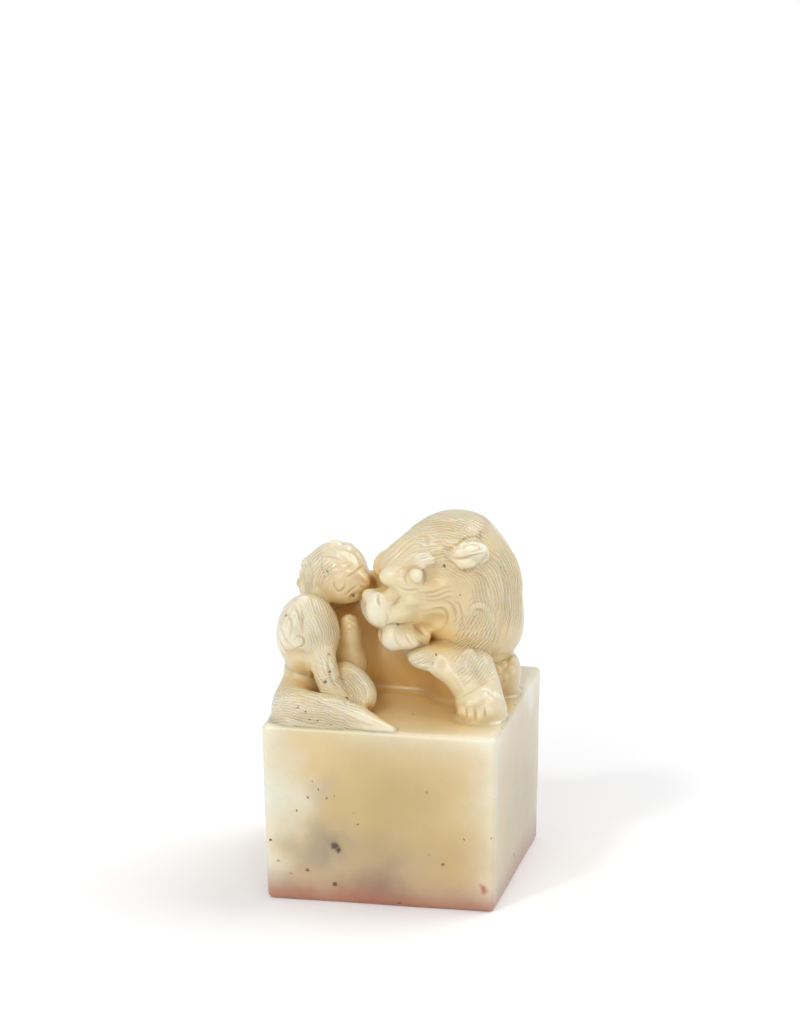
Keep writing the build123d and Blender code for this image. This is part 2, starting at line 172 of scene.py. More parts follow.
class Clay:
    # A solid kept as distances to its surface on a grid
    def __init__(self, low, high, voxel):
        self.low = np.array(low, float)
        self.voxel = voxel
        size = np.ceil((np.array(high, float) - self.low) / voxel).astype(int) + 1
        self.field = np.full(tuple(size), clayBand, np.float32)
        self.whole = self.field  # the field before its grooves were cut

    def merge(self, window, patch, blend, cut):
        if cut:
            self.field[window] = -softMin(-self.field[window], patch, blend)
        else:
            self.field[window] = softMin(self.field[window], patch, blend)

    def press(self, piece, blend=0.3, cut=False):  # adds or cuts a closed mesh
        points, triangles = pointsOf(piece)
        if not len(triangles):
            return
        grid = openvdb.FloatGrid.createLevelSetFromPolygons(
            (points - self.low).astype(np.float32),
            triangles=triangles,
            transform=openvdb.createLinearTransform(voxelSize=self.voxel),
            halfWidth=clayBand / self.voxel,
        )
        low, high = grid.evalActiveVoxelBoundingBox()
        low = np.maximum(low, 0)
        high = np.minimum(high, np.array(self.field.shape) - 1)
        if (low > high).any():
            return
        patch = np.empty(tuple(high - low + 1), np.float32)
        grid.copyToArray(patch, ijk=tuple(int(value) for value in low))
        window = tuple(slice(start, stop + 1) for start, stop in zip(low, high))
        self.merge(window, patch, blend, cut)

    def ball(self, centre, radii, along=(1, 0, 0), blend=0.3, cut=False):
        # an egg with its first axis along a line
        centre, radii = np.array(centre, float), np.array(radii, float)
        first = np.array(along, float) / np.linalg.norm(along)
        hint = np.array([0.0, 0.0, 1.0]) if abs(first[2]) < 0.9 else np.array([0.0, 1.0, 0.0])
        second = np.cross(hint, first)
        second /= np.linalg.norm(second)
        axes = np.array([first, second, np.cross(first, second)])
        reach = radii.max() + clayBand
        low = np.maximum(np.floor((centre - reach - self.low) / self.voxel).astype(int), 0)
        high = np.minimum(np.ceil((centre + reach - self.low) / self.voxel).astype(int) + 1, self.field.shape)
        if (low >= high).any():
            return
        ticks = [self.low[i] + self.voxel * np.arange(low[i], high[i]) - centre[i] for i in range(3)]
        x, y, z = np.meshgrid(*ticks, indexing="ij", sparse=True)
        local = [axis[0] * x + axis[1] * y + axis[2] * z for axis in axes]
        whole = np.sqrt(sum((value / radius) ** 2 for value, radius in zip(local, radii))) + 1e-6
        slope = np.sqrt(sum((value / radius**2) ** 2 for value, radius in zip(local, radii))) + 1e-6
        patch = (whole * (whole - 1) / slope).astype(np.float32)
        window = tuple(slice(start, stop) for start, stop in zip(low, high))
        self.merge(window, np.minimum(patch, clayBand), blend, cut)

    def smooth(self, passes):
        for _ in range(passes):
            for axis in range(3):
                field = np.moveaxis(self.field, axis, 0)
                middle = field[1:-1] * 2 + field[:-2] + field[2:]
                field[1:-1] = middle / 4

    def grid(self):  # the places of the field's own values, one sparse array for each axis
        ticks = [self.low[i] + self.voxel * np.arange(self.field.shape[i]) for i in range(3)]
        return np.meshgrid(*ticks, indexing="ij", sparse=True)

    def sample(self, points, field=None):
        field = self.field if field is None else field
        place = (np.asarray(points) - self.low) / self.voxel
        limit = np.array(field.shape) - 2
        inside = ((place >= 0) & (place <= limit)).all(axis=-1)
        place = np.clip(place, 0, limit)
        corner = place.astype(int)
        share = place - corner
        total = 0
        for dx in (0, 1):
            for dy in (0, 1):
                for dz in (0, 1):
                    weight = 1
                    for axis, step in enumerate((dx, dy, dz)):
                        weight = weight * (share[..., axis] if step else 1 - share[..., axis])
                    nearby = (corner[..., 0] + dx, corner[..., 1] + dy, corner[..., 2] + dz)
                    total = total + weight * field[nearby]
        return np.where(inside, total, clayBand)

    def slopes(self, points):  # outward normals
        steps = np.eye(3) * self.voxel
        slope = np.stack([self.sample(points + step) - self.sample(points - step) for step in steps], axis=-1)
        return slope / (np.linalg.norm(slope, axis=-1)[..., None] + 1e-9)

    def hits(self, origins, rays, start, stop):  # first surface points along rays, and whether each ray hits
        reach = np.arange(start, stop, self.voxel)
        track = self.sample(origins[:, None, :] + rays[:, None, :] * reach[None, :, None])
        inside = track < 0
        found = inside.any(axis=1)
        first = inside.argmax(axis=1)
        rows = np.arange(len(rays))
        before = np.where(first > 0, track[rows, first - 1], track[rows, first])
        after = track[rows, first]
        share = np.clip(before / np.maximum(before - after, 1e-6), 0, 1)
        depth = reach[first] - self.voxel * (1 - share)
        return origins + rays * depth[:, None], found

    def piece(self, name, limit=195000):
        grid = openvdb.FloatGrid(clayBand)
        grid.copyFromArray(self.field)
        points, quads = grid.convertToQuads(isovalue=0.0)
        points = (points * self.voxel + self.low) * mm
        mesh = bpy.data.meshes.new(name)
        mesh.vertices.add(len(points))
        mesh.vertices.foreach_set("co", points.astype(np.float32).ravel())
        mesh.loops.add(len(quads) * 4)
        mesh.loops.foreach_set("vertex_index", quads.astype(np.int32).ravel())
        mesh.polygons.add(len(quads))
        mesh.polygons.foreach_set("loop_start", np.arange(len(quads), dtype=np.int32) * 4)
        mesh.update(calc_edges=True)
        mesh.validate()
        mesh.shade_smooth()
        piece = bpy.data.objects.new(name, mesh)
        bpy.context.scene.collection.objects.link(piece)
        if len(quads) * 2 > limit:
            thinner = piece.modifiers.new("fewer faces", "DECIMATE")
            thinner.ratio = limit / (len(quads) * 2)
            shown = piece.evaluated_get(bpy.context.evaluated_depsgraph_get())
            thin = bpy.data.meshes.new_from_object(shown)
            piece.modifiers.clear()
            piece.data = thin
            thin.name = name
            thin.shade_smooth()
        print(name, "has", len(quads) * 2, "triangles before thinning")
        return piece


# Strokes: tapered tubes that follow lines on the stone, pressed in or laid on
def strokeTree():
    tree = bpy.data.node_groups.new("tapered stroke", "GeometryNodeTree")
    tree.interface.new_socket("Geometry", in_out="INPUT", socket_type="NodeSocketGeometry")
    tree.interface.new_socket("Sides", in_out="INPUT", socket_type="NodeSocketInt")
    tree.interface.new_socket("Step", in_out="INPUT", socket_type="NodeSocketFloat")
    tree.interface.new_socket("Stone", in_out="INPUT", socket_type="NodeSocketMaterial")
    tree.interface.new_socket("Geometry", in_out="OUTPUT", socket_type="NodeSocketGeometry")
    board = Board(tree)
    inward = tree.nodes.new("NodeGroupInput")
    curve, sides, step, stone = (Wire(board, inward.outputs[i]) for i in range(4))
    even = board.add("GeometryNodeResampleCurve", {"mode": "LENGTH"}, {"Curve": curve, "Length": step})
    outline = board.add("GeometryNodeCurvePrimitiveCircle", None, {"Resolution": sides, "Radius": 1.0})
    inputs = {"Curve": even, "Profile Curve": outline, "Fill Caps": True}
    probe = tree.nodes.new("GeometryNodeCurveToMesh")
    if "Scale" in probe.inputs:
        inputs["Scale"] = board.add("GeometryNodeInputRadius")
    tree.nodes.remove(probe)
    tubes = board.add("GeometryNodeCurveToMesh", None, inputs)
    real = board.add("GeometryNodeRealizeInstances", None, {"Geometry": tubes})
    coated = board.add("GeometryNodeSetMaterial", None, {"Geometry": real, "Material": stone})
    outward = tree.nodes.new("NodeGroupOutput")
    tree.links.new(coated.socket, outward.inputs[0])
    return tree


def setInputs(modifier, values):  # a modifier's inputs by their names
    for item in modifier.node_group.interface.items_tree:
        if item.in_out == "INPUT" and item.name in values:
            modifier[item.identifier] = values[item.name]


def grown(source, name):  # the evaluated object as a plain mesh object
    shown = source.evaluated_get(bpy.context.evaluated_depsgraph_get())
    mesh = bpy.data.meshes.new_from_object(shown)
    piece = bpy.data.objects.new(name, mesh)
    bpy.context.scene.collection.objects.link(piece)
    return piece


def discard(*pieces):
    for piece in pieces:
        bpy.data.objects.remove(piece)


def smoothLine(points, share=0.5, steps=6):  # a rounded line through a few points
    points = np.asarray(points, float)
    padded = np.vstack([2 * points[0] - points[1], points, 2 * points[-1] - points[-2]])
    line = []
    for index in range(1, len(padded) - 2):
        before, start, stop, after = padded[index - 1 : index + 3]
        for step in range(steps):
            t = step / steps
            leave, arrive = (stop - before) * share, (after - start) * share
            line.append(
                (2 * t**3 - 3 * t**2 + 1) * start + (t**3 - 2 * t**2 + t) * leave
                + (3 * t**2 - 2 * t**3) * stop + (t**3 - t**2) * arrive
            )
    line.append(points[-1])
    return np.array(line)


strokes = strokeTree()


strokeSides = 8
strokeStep = 0.25
thinnestShare = 0.12  # of a stroke's radius, at its ends
ridgeBlend = 0.25
grooveBlend = 0.12


def drawStrokes(clay, lines, blend, cut):
    # lines hold surface points, their normals, a radius and how far the middle lies outside the surface
    curve = bpy.data.curves.new("strokes", "CURVE")
    curve.dimensions = "3D"
    for points, normals, radius, rise, taper in lines:
        count = len(points)
        middles = (points + normals * rise) * mm
        spread = np.sin(np.pi * np.clip((np.arange(count) + 0.5) / count, 0, 1)) ** taper
        spline = curve.splines.new("POLY")
        spline.points.add(count - 1)
        spline.points.foreach_set("co", np.column_stack([middles, np.ones(count)]).astype(np.float32).ravel())
        spline.points.foreach_set("radius", (radius * mm * np.maximum(spread, thinnestShare)).astype(np.float32))
    source = bpy.data.objects.new("strokes", curve)
    bpy.context.scene.collection.objects.link(source)
    modifier = source.modifiers.new("tapered stroke", "NODES")
    modifier.node_group = strokes
    setInputs(modifier, {"Sides": strokeSides, "Step": strokeStep * mm})
    tubes = grown(source, "stroke tubes")
    clay.press(tubes, blend, cut)
    discard(source, tubes)


seenReach = {"nearer": 45, "farther": 30}  # how far before and behind the camera's aim the stone may lie
widestStep = 1.3  # a line of surface points that jumps farther is broken there
fewestPoints = 4


def seen(clay, pixels):  # where the camera's rays meet the clay
    rays = eye.rays(pixels)
    origins = np.broadcast_to(eye.place, rays.shape)
    distance = cameraView["distance"]
    points, found = clay.hits(origins, rays, distance - seenReach["nearer"], distance + seenReach["farther"])
    return points[found]


def unbroken(clay, points, radius, rise, taper):  # the runs of a line of surface points that has no jumps
    if len(points) < fewestPoints:
        return []
    steps = np.linalg.norm(np.diff(points, axis=0), axis=1)
    breaks = np.flatnonzero(steps > widestStep) + 1
    runs = np.split(points, breaks)
    return [(run, clay.slopes(run), radius, rise, taper) for run in runs if len(run) > fewestPoints]


def stroke(clay, pixels, radius, rise, taper=0.5):
    return unbroken(clay, seen(clay, smoothLine(pixels)), radius, rise, taper)


# The carving's forms, taken from the frame and melted together. Each form's number is its blend.
# Roots are the forms that a piece grows out of, with a rounded joint.
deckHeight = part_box("seal_block")[1][2] / mm
deckReach = 17.5  # half the width of the deck that the roots may spread over
rootDepth = 0.3  # how far a root lies under its neighbour's surface
rootPress = 0.6  # the blend of the roots with each other
rootSink = 1.4  # how far a piece reaches into the block
deckSkin = 0.04  # how far a root starts above the deck
rootReach = 1.7  # how far from its own form a piece keeps its root
bodies = {
    "motherTrunk": {
        "voxel": 0.18,
        "smoothing": 14,
        "forms": {
            "mother_flank": 0.3,
            "mother_rump": 1.8,
            "mother_left_haunch": 0.9,
            "mother_chest": 1.4,
            "mother_left_foreleg": 0.6,
            "mother_right_knee": 1.0,
            "mother_left_hind_paw": 0.5,
            "mother_spine": 0.3,
        },
        "roots": [],
        "rootBlend": 1.9,
    },
    "motherHead": {
        "voxel": 0.14,
        "smoothing": 6,
        "forms": {
            "mother_mane": 0.3,
            "mother_face": 1.6,
            "mother_muzzle": 0.9,
            "mother_lower_jaw": 0.7,
            "mother_nose": 0.5,
            "mother_left_eye": 0.2,
            "mother_right_eye": 0.2,
            "mother_left_brow": 0.6,
            "mother_right_brow": 0.6,
            "mother_left_ear": 0.6,
            "mother_right_ear": 0.6,
        },
        "roots": ["mother_chest", "mother_flank", "mother_right_foreleg", "mother_left_foreleg"],
        "rootBlend": 1.1,
    },
    "motherForeleg": {
        "voxel": 0.13,
        "smoothing": 36,
        "forms": {"mother_right_foreleg": 0.3, "mother_right_forepaw": 1.2},
        "roots": ["mother_chest", "mother_flank", "mother_left_foreleg", "mother_mane"],
        "rootBlend": 1.3,
    },
    "motherHindLeg": {
        "voxel": 0.13,
        "smoothing": 14,
        "forms": {
            "mother_right_haunch": 0.3,
            "mother_right_hind_leg": 1.2,
            "mother_right_hind_paw": 0.7,
            "mother_hock_tuft": 0.4,
        },
        "roots": ["mother_rump", "mother_flank", "mother_right_knee", "mother_tail_root"],
        "rootBlend": 1.2,
    },
    "motherTail": {
        "voxel": 0.13,
        "smoothing": 12,
        "forms": {"mother_tail": 0.3, "mother_tail_root": 1.2},
        "roots": ["mother_rump", "mother_left_haunch", "mother_left_hind_paw"],
        "rootBlend": 1.0,
    },
    "cub": {
        "voxel": 0.13,
        "smoothing": 5,
        "forms": {
            "cub_body": 0.3,
            "cub_head": 0.9,
            "cub_snout": 0.7,
            "cub_left_ear": 0.4,
            "cub_right_ear": 0.4,
            "cub_left_foreleg": 0.5,
            "cub_right_foreleg": 0.5,
            "cub_left_thigh": 1.6,
            "cub_right_thigh": 1.6,
            "cub_tail": 1.4,
            "cub_spine": 0.2,
        },
        "roots": ["mother_rump", "mother_flank", "mother_right_haunch", "mother_mane", "mother_right_knee"],
        "rootBlend": 1.7,
    },
}


def meltForms(settings):
    corners = [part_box(name) for name in settings["forms"]]
    low = np.min([corner[0] for corner in corners], axis=0) / mm - clayBand
    high = np.max([corner[1] for corner in corners], axis=0) / mm + clayBand
    clay = Clay(low, high, settings["voxel"])
    for name, blend in settings["forms"].items():
        clay.press(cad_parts[name], blend)
    clay.smooth(settings["smoothing"])
    return clay


def growRoots(clay, settings):  # rounds the joint with the neighbours and the deck
    ground = Clay(clay.low, clay.low, clay.voxel)
    ground.field = np.full(clay.field.shape, clayBand, np.float32)
    for name in settings["roots"]:
        ground.press(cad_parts[name], rootPress)
    across, deep, height = clay.grid()
    deck = np.maximum(height - deckHeight + deckSkin, np.maximum(np.abs(across), np.abs(deep)) - deckReach)
    ground = np.minimum(ground.field + rootDepth, deck)
    melted = softMin(clay.field, ground, settings["rootBlend"])
    clay.field = np.maximum(melted, clay.field - rootReach)
    clay.field = np.maximum(clay.field, deckHeight - rootSink - height).astype(np.float32)


clays = {}
for bodyName, bodySettings in bodies.items():
    clays[bodyName] = meltForms(bodySettings)
    print("melted the forms of", bodyName, clays[bodyName].field.shape)

# Carved detail. Places are pixels of the photograph, sizes are millimetres.
# A ball has its place, its three radii, how far it stands out and its blend. A hollow has its depth instead.
# A groove's or ridge's line is followed by its radius and by its depth or height.
# A fan runs from its first line to its last, with a count, a radius and a depth.
carvings = {
    "motherHead": {
        "balls": {
            "innerBrow": ((389, 578), (1.9, 1.3, 1.5), 0.9, 0.8),
            "noseBulb": ((390, 595), (1.2, 1.1, 1.3), 0.6, 0.5),
            "upperLip": ((374, 611), (2.0, 1.6, 2.7), 0.7, 0.6),
            "leftEye": ((416, 577), (1.35, 1.3, 1.3), 0.8, 0.15),
            "cheekBump": ((402, 612), (1.9, 1.5, 1.3), 0.3, 0.8),
            "whiskerBump": ((411, 602), (1.4, 1.2, 0.9), 0.25, 0.6),
            "chinTip": ((390, 640), (1.7, 1.5, 1.9), 0.5, 0.7),
            "chinSide": ((408, 644), (2.2, 1.5, 1.3), 0.4, 0.8),
            "earUpper": ((474, 548), (2.3, 1.2, 1.2), 0.8, 0.5),
            "earLower": ((464, 563), (1.9, 1.0, 1.0), 0.7, 0.4),
            "earLeaf": ((451, 543), (1.7, 0.8, 0.7), 0.6, 0.3),
            "templeLock": ((430, 549), (1.9, 0.9, 0.8), 0.35, 0.5),
        },
        "hollows": {
            "eyeCorner": ((435, 577), (2.0, 1.4, 1.6), 0.7, 0.9),
            "mouthCorner": ((424, 629), (1.6, 1.2, 0.8), 0.35, 0.6),
            "underCheek": ((437, 620), (1.8, 1.3, 1.2), 0.4, 0.9),
            "maneDip": ((479, 622), (1.6, 1.3, 1.4), 0.3, 0.9),
            "lobeDip": ((503, 618), (1.0, 1.2, 3.0), 0.35, 0.8),
        },
        "ridges": {
            "browLock1": ([(402, 568), (411, 560), (424, 555), (438, 552)], 0.6, 0.3),
            "browLock2": ([(412, 566), (424, 562), (437, 558)], 0.5, 0.26),
            "curl": (
                [
                    (417, 546), (415, 539), (421, 534), (429, 536),
                    (431, 542), (426, 546), (422, 543), (424, 539),
                ],
                0.4, 0.26,
            ),
            "earRim": ([(459, 547), (467, 541), (477, 540), (485, 547), (483, 553)], 0.5, 0.3),
            "earLobeRim": ([(455, 562), (463, 569), (473, 568), (481, 560)], 0.4, 0.22),
            "noseWing": ([(383, 599), (388, 604), (395, 602)], 0.5, 0.25),
            "cheekFlash": ([(417, 622), (423, 628), (430, 635)], 0.4, 0.22),
            "cheekWave": (
                [(417, 603), (424, 609), (434, 606), (444, 605), (451, 613), (450, 624)],
                0.42, 0.2,
            ),
            "hookCurl": ([(470, 611), (476, 606), (484, 607), (488, 613)], 0.4, 0.22),
        },
        "grooves": {
            "mouth": ([(383, 628), (392, 624.5), (400, 625), (408, 624), (416, 622)], 0.42, 0.42),
            "mouthFold": ([(413, 624), (419, 630), (427, 637)], 0.3, 0.3),
            "lipCrease": ([(379, 591), (378, 600), (381, 607)], 0.3, 0.3),
            "nostril": ([(392, 606), (397, 601), (400, 595)], 0.26, 0.28),
            "eyeRim": (
                [(408, 586), (405, 578), (408, 570), (415, 567), (423, 570), (426, 578), (422, 586)],
                0.27, 0.3,
            ),
            "eyeFold": ([(397, 586), (405, 590), (415, 590), (424, 588)], 0.26, 0.22),
            "earOutline": (
                [(440, 551), (448, 560), (457, 567), (464, 571), (474, 569), (482, 561), (488, 554)],
                0.26, 0.32,
            ),
            "earFold": ([(452, 557), (460, 558), (472, 556), (486, 553)], 0.24, 0.3),
            "earInner": (
                [(461, 551), (466, 545), (475, 544), (481, 549), (474, 552), (464, 553)],
                0.22, 0.24,
            ),
            "earTop": (
                [(443, 550), (452, 549), (459, 543), (466, 538), (477, 537), (487, 545)],
                0.22, 0.26,
            ),
            "wave1": ([(414, 590), (424, 593), (434, 592), (444, 588), (453, 587)], 0.25, 0.22),
            "wave2": ([(417, 594), (427, 597), (438, 596), (448, 592), (457, 592)], 0.25, 0.22),
            "wave3": ([(420, 599), (430, 601), (441, 600), (450, 597), (459, 599)], 0.25, 0.2),
            "cheekCurl1": (
                [(426, 612), (435, 609), (443, 609), (447, 615), (446, 624), (441, 632)],
                0.25, 0.25,
            ),
            "cheekCurl2": ([(434, 602), (446, 601), (454, 607), (456, 618), (453, 630)], 0.25, 0.22),
            "cheekCurl3": ([(448, 599), (458, 603), (462, 613), (461, 626), (456, 638)], 0.25, 0.2),
            "hookInner": ([(474, 614), (477, 610), (482, 611), (485, 615)], 0.22, 0.22),
            "hookOuter": ([(467, 612), (474, 603), (484, 602), (492, 609), (494, 618)], 0.22, 0.2),
            "chin1": ([(395, 634), (397, 642), (403, 650)], 0.22, 0.2),
            "chin2": ([(406, 633), (409, 641), (415, 648)], 0.22, 0.2),
            "chin3": ([(416, 636), (421, 643), (428, 648)], 0.22, 0.2),
            "lipSide": ([(386, 611), (388, 619), (386, 626)], 0.24, 0.2),
            "beardFold": ([(432, 645), (441, 640), (450, 642), (458, 648)], 0.26, 0.22),
            "cornerLine": ([(508, 603), (511, 615), (509, 628), (505, 640)], 0.28, 0.26),
        },
        "fans": {
            "crown": (
                [(417, 521), (432, 520), (448, 522), (466, 519), (482, 526)],
                [(408, 535), (424, 530), (440, 531), (457, 531), (474, 538)],
                7, 0.2, 0.2,
            ),
            "forehead": (
                [(374, 563), (386, 551), (400, 538), (414, 528)],
                [(388, 566), (398, 556), (409, 547), (419, 539)],
                4, 0.22, 0.18,
            ),
            "brow": (
                [(392, 572), (400, 569), (408, 560), (420, 552), (436, 549)],
                [(396, 578), (402, 576), (410, 568), (422, 563), (436, 560)],
                4, 0.2, 0.2,
            ),
            "napeArcs": (
                [(471, 572), (479, 573), (486, 579), (491, 588)],
                [(468, 601), (476, 598), (485, 600), (493, 607)],
                10, 0.19, 0.19,
            ),
            "arcTails": (
                [(491, 575), (497, 588), (499, 604), (497, 620)],
                [(489, 602), (494, 608), (496, 618), (494, 630)],
                4, 0.19, 0.16,
            ),
            "sweep": (
                [(487, 548), (496, 557), (502, 572), (505, 590), (505, 608), (502, 626)],
                [(491, 530), (506, 546), (515, 567), (520, 592), (521, 616), (517, 640)],
                8, 0.22, 0.22,
            ),
            "lowMane": (
                [(458, 612), (463, 622), (464, 634), (460, 645)],
                [(497, 622), (500, 632), (498, 642), (491, 650)],
                9, 0.2, 0.15,
            ),
        },
    },
    "motherTrunk": {
        "balls": {
            "kneeTop": ((349, 622), (1.4, 1.3, 1.7), 0.5, 0.6),
            "wallFoot": ((352, 668), (2.6, 2.2, 3.0), 0.5, 1.6),
            "curl1": ((499, 658), (0.8, 0.8, 0.8), 0.5, 0.2),
            "curl2": ((506, 654), (0.9, 0.8, 0.8), 0.5, 0.2),
            "curl3": ((513, 661), (0.8, 0.9, 0.8), 0.5, 0.2),
            "curl4": ((504, 664), (0.8, 0.8, 0.8), 0.5, 0.2),
            "curl5": ((511, 671), (0.8, 0.8, 0.9), 0.5, 0.2),
            "curl6": ((498, 670), (0.9, 0.8, 0.8), 0.5, 0.2),
            "curl7": ((505, 677), (0.8, 0.8, 0.8), 0.5, 0.2),
        },
        "hollows": {},
        "ridges": {},
        "grooves": {
            "kneeHair1": ([(344, 616), (349, 613), (355, 616)], 0.18, 0.18),
            "kneeHair2": ([(343, 622), (349, 618), (356, 621)], 0.18, 0.18),
            "kneeHair3": ([(343, 628), (349, 624), (356, 627)], 0.18, 0.18),
            "kneeHair4": ([(344, 634), (349, 630), (356, 633)], 0.18, 0.18),
        },
        "fans": {},
    },
    "motherForeleg": {
        "balls": {
            "shoulder": ((420, 661), (2.4, 1.7, 1.5), 0.45, 1.0),
            "legBack": ((470, 664), (1.6, 1.6, 3.0), 0.4, 1.0),
            "pawBack": ((474, 699), (2.9, 1.8, 1.9), 0.5, 1.0),
            "knuckle1": ((469, 704), (0.9, 0.9, 0.9), 0.35, 0.4),
            "knuckle2": ((477, 700), (0.9, 0.9, 0.9), 0.35, 0.4),
            "knuckle3": ((485, 696), (0.9, 0.9, 0.9), 0.4, 0.4),
            "knuckle4": ((491, 702), (0.9, 0.9, 0.9), 0.35, 0.4),
            "dewclaw": ((499, 697), (0.8, 0.8, 0.8), 0.45, 0.3),
            "toe1": ((462, 712), (1.2, 1.3, 1.1), 0.45, 0.4),
            "toe2": ((470, 715), (1.2, 1.3, 1.1), 0.5, 0.4),
            "toe3": ((480, 715), (1.2, 1.3, 1.1), 0.5, 0.4),
            "toe4": ((489, 711), (1.2, 1.3, 1.1), 0.45, 0.4),
        },
        "hollows": {"shoulderDip": ((434, 662), (1.6, 1.2, 1.3), 0.3, 0.9)},
        "ridges": {
            "legLine": ([(428, 670), (441, 680), (450, 692), (455, 706)], 0.5, 0.2),
            "tendon": ([(449, 668), (460, 682), (468, 696)], 0.5, 0.2),
        },
        "grooves": {
            "toeGap1": ([(466, 708), (466, 714), (465, 719)], 0.24, 0.28),
            "toeGap2": ([(475, 708), (475, 715), (475, 721)], 0.26, 0.32),
            "toeGap3": ([(484, 706), (485, 713), (486, 718)], 0.24, 0.28),
            "footCrease": ([(456, 700), (464, 695), (474, 690), (483, 684)], 0.26, 0.2),
            "shoulderHair1": ([(410, 663), (417, 659), (427, 657)], 0.2, 0.2),
            "shoulderHair2": ([(412, 667), (420, 664), (431, 662)], 0.2, 0.18),
            "shoulderHair3": ([(415, 671), (424, 669), (434, 668)], 0.2, 0.16),
        },
        "fans": {
            "legHair": (
                [(469, 648), (466, 653), (460, 658)],
                [(489, 680), (484, 684), (477, 687)],
                13, 0.2, 0.22,
            ),
            "legHairInner": (
                [(458, 650), (454, 656), (448, 661)],
                [(474, 676), (469, 682), (462, 686)],
                9, 0.2, 0.15,
            ),
        },
    },
    "motherHindLeg": {
        "balls": {
            "haunchShell": ((283, 640), (1.3, 1.2, 2.4), 0.5, 0.7),
            "haunchCurl": ((298, 643), (1.1, 0.9, 1.1), 0.55, 0.4),
            "haunchTop": ((303, 602), (1.3, 1.0, 1.5), 0.35, 0.6),
            "hock": ((312, 676), (1.2, 1.1, 2.4), 0.3, 0.8),
            "toe1": ((346, 705), (0.9, 0.9, 0.8), 0.35, 0.3),
            "toe2": ((341, 709), (0.9, 0.9, 0.8), 0.35, 0.3),
        },
        "hollows": {"underCurl": ((297, 654), (1.6, 1.2, 0.9), 0.35, 0.7)},
        "ridges": {
            "lock1": ([(302, 600), (306, 612), (307, 626), (311, 638)], 0.5, 0.28),
            "lock2": ([(288, 608), (294, 616), (296, 626)], 0.5, 0.28),
            "legEdge": ([(307, 655), (309, 670), (316, 686), (327, 695)], 0.5, 0.22),
        },
        "grooves": {
            "lockEdge1": ([(299, 602), (302, 614), (302, 626), (305, 636)], 0.24, 0.26),
            "lockEdge2": ([(285, 611), (290, 620), (291, 631), (288, 640)], 0.24, 0.24),
            "lockEdge3": ([(293, 604), (298, 614), (300, 624)], 0.22, 0.24),
            "shell1": ([(279, 618), (281, 630), (286, 640), (292, 647)], 0.22, 0.22),
            "shell2": ([(277, 628), (279, 640), (285, 650), (292, 656)], 0.22, 0.22),
            "curl1": (
                [(293, 640), (297, 636), (303, 638), (304, 645), (298, 648), (293, 651)],
                0.22, 0.24,
            ),
            "shin1": ([(328, 655), (329, 668), (332, 680), (341, 692)], 0.3, 0.3),
            "shin2": ([(314, 655), (316, 668), (321, 681), (330, 691)], 0.2, 0.16),
            "shin3": ([(321, 655), (323, 668), (328, 680), (336, 690)], 0.2, 0.16),
            "toeGap": ([(340, 702), (345, 704), (349, 708)], 0.2, 0.22),
        },
        "fans": {
            "haunchHair": (
                [(311, 599), (315, 612), (320, 628), (325, 646)],
                [(324, 601), (332, 613), (338, 629), (340, 646)],
                10, 0.18, 0.19,
            ),
            "lockHair": (
                [(306, 628), (311, 640), (315, 650)],
                [(318, 632), (322, 642), (324, 652)],
                4, 0.18, 0.15,
            ),
            "leftHair": (
                [(289, 598), (282, 608), (277, 622)],
                [(295, 612), (291, 620), (288, 632)],
                4, 0.18, 0.16,
            ),
            "tuftHair": (
                [(337, 671), (347, 670), (358, 677), (366, 690), (366, 702)],
                [(334, 684), (339, 683), (346, 690), (353, 700), (357, 710)],
                7, 0.2, 0.22,
            ),
        },
    },
    "motherTail": {
        "balls": {"tailTurn": ((283, 704), (2.4, 1.8, 2.0), 0.3, 1.0)},
        "hollows": {},
        "ridges": {"tip": ([(346, 722), (360, 727), (376, 730), (390, 731)], 0.5, 0.22)},
        "grooves": {},
        "fans": {
            "tailHair": (
                [(282, 688), (297, 694), (314, 700), (334, 708), (356, 719), (382, 729)],
                [(271, 711), (290, 718), (316, 724), (340, 728), (362, 731), (386, 732)],
                11, 0.2, 0.22,
            ),
        },
    },
    "cub": {
        "balls": {
            "brow": ((341, 554), (1.3, 1.1, 0.9), 0.55, 0.4),
            "temple": ((331, 563), (1.3, 1.0, 1.0), 0.5, 0.4),
            "ear": ((339, 584), (1.0, 0.8, 1.4), 0.45, 0.4),
            "crest1": ((335, 543), (1.2, 1.0, 0.9), 0.5, 0.4),
            "crest2": ((348, 548), (1.0, 0.9, 0.8), 0.45, 0.4),
            "curl1": ((314, 566), (0.8, 0.8, 0.8), 0.4, 0.3),
            "curl2": ((317, 573), (0.8, 0.8, 0.8), 0.4, 0.3),
            "curl3": ((318, 580), (0.8, 0.8, 0.8), 0.4, 0.3),
            "curl4": ((316, 589), (1.0, 0.9, 0.8), 0.5, 0.3),
            "curl5": ((305, 563), (0.9, 0.8, 0.8), 0.4, 0.3),
            "curl6": ((302, 573), (0.9, 0.8, 0.9), 0.4, 0.3),
            "curl7": ((299, 583), (0.9, 0.8, 0.9), 0.4, 0.3),
            "neck": ((338, 592), (3.6, 3.0, 3.6), 0.5, 1.8),
            "throat": ((350, 588), (2.8, 2.4, 3.0), 0.4, 1.6),
            "beard": ((363, 583), (1.5, 1.2, 1.3), 0.6, 0.8),
        },
        "hollows": {
            "eyeSocket": ((350, 566), (1.2, 0.9, 0.9), 0.4, 0.5),
            "jawDip": ((354, 596), (0.7, 0.6, 0.6), 0.4, 0.3),
        },
        "ridges": {
            "forelock": ([(314, 553), (324, 549), (334, 550), (344, 556)], 0.45, 0.22),
            "cheekLine": ([(326, 572), (334, 571), (344, 568), (352, 562)], 0.45, 0.22),
            "rib1": ([(350, 553), (355, 558), (359, 566)], 0.3, 0.18),
            "rib2": ([(353, 549), (359, 555), (363, 564)], 0.3, 0.18),
        },
        "grooves": {
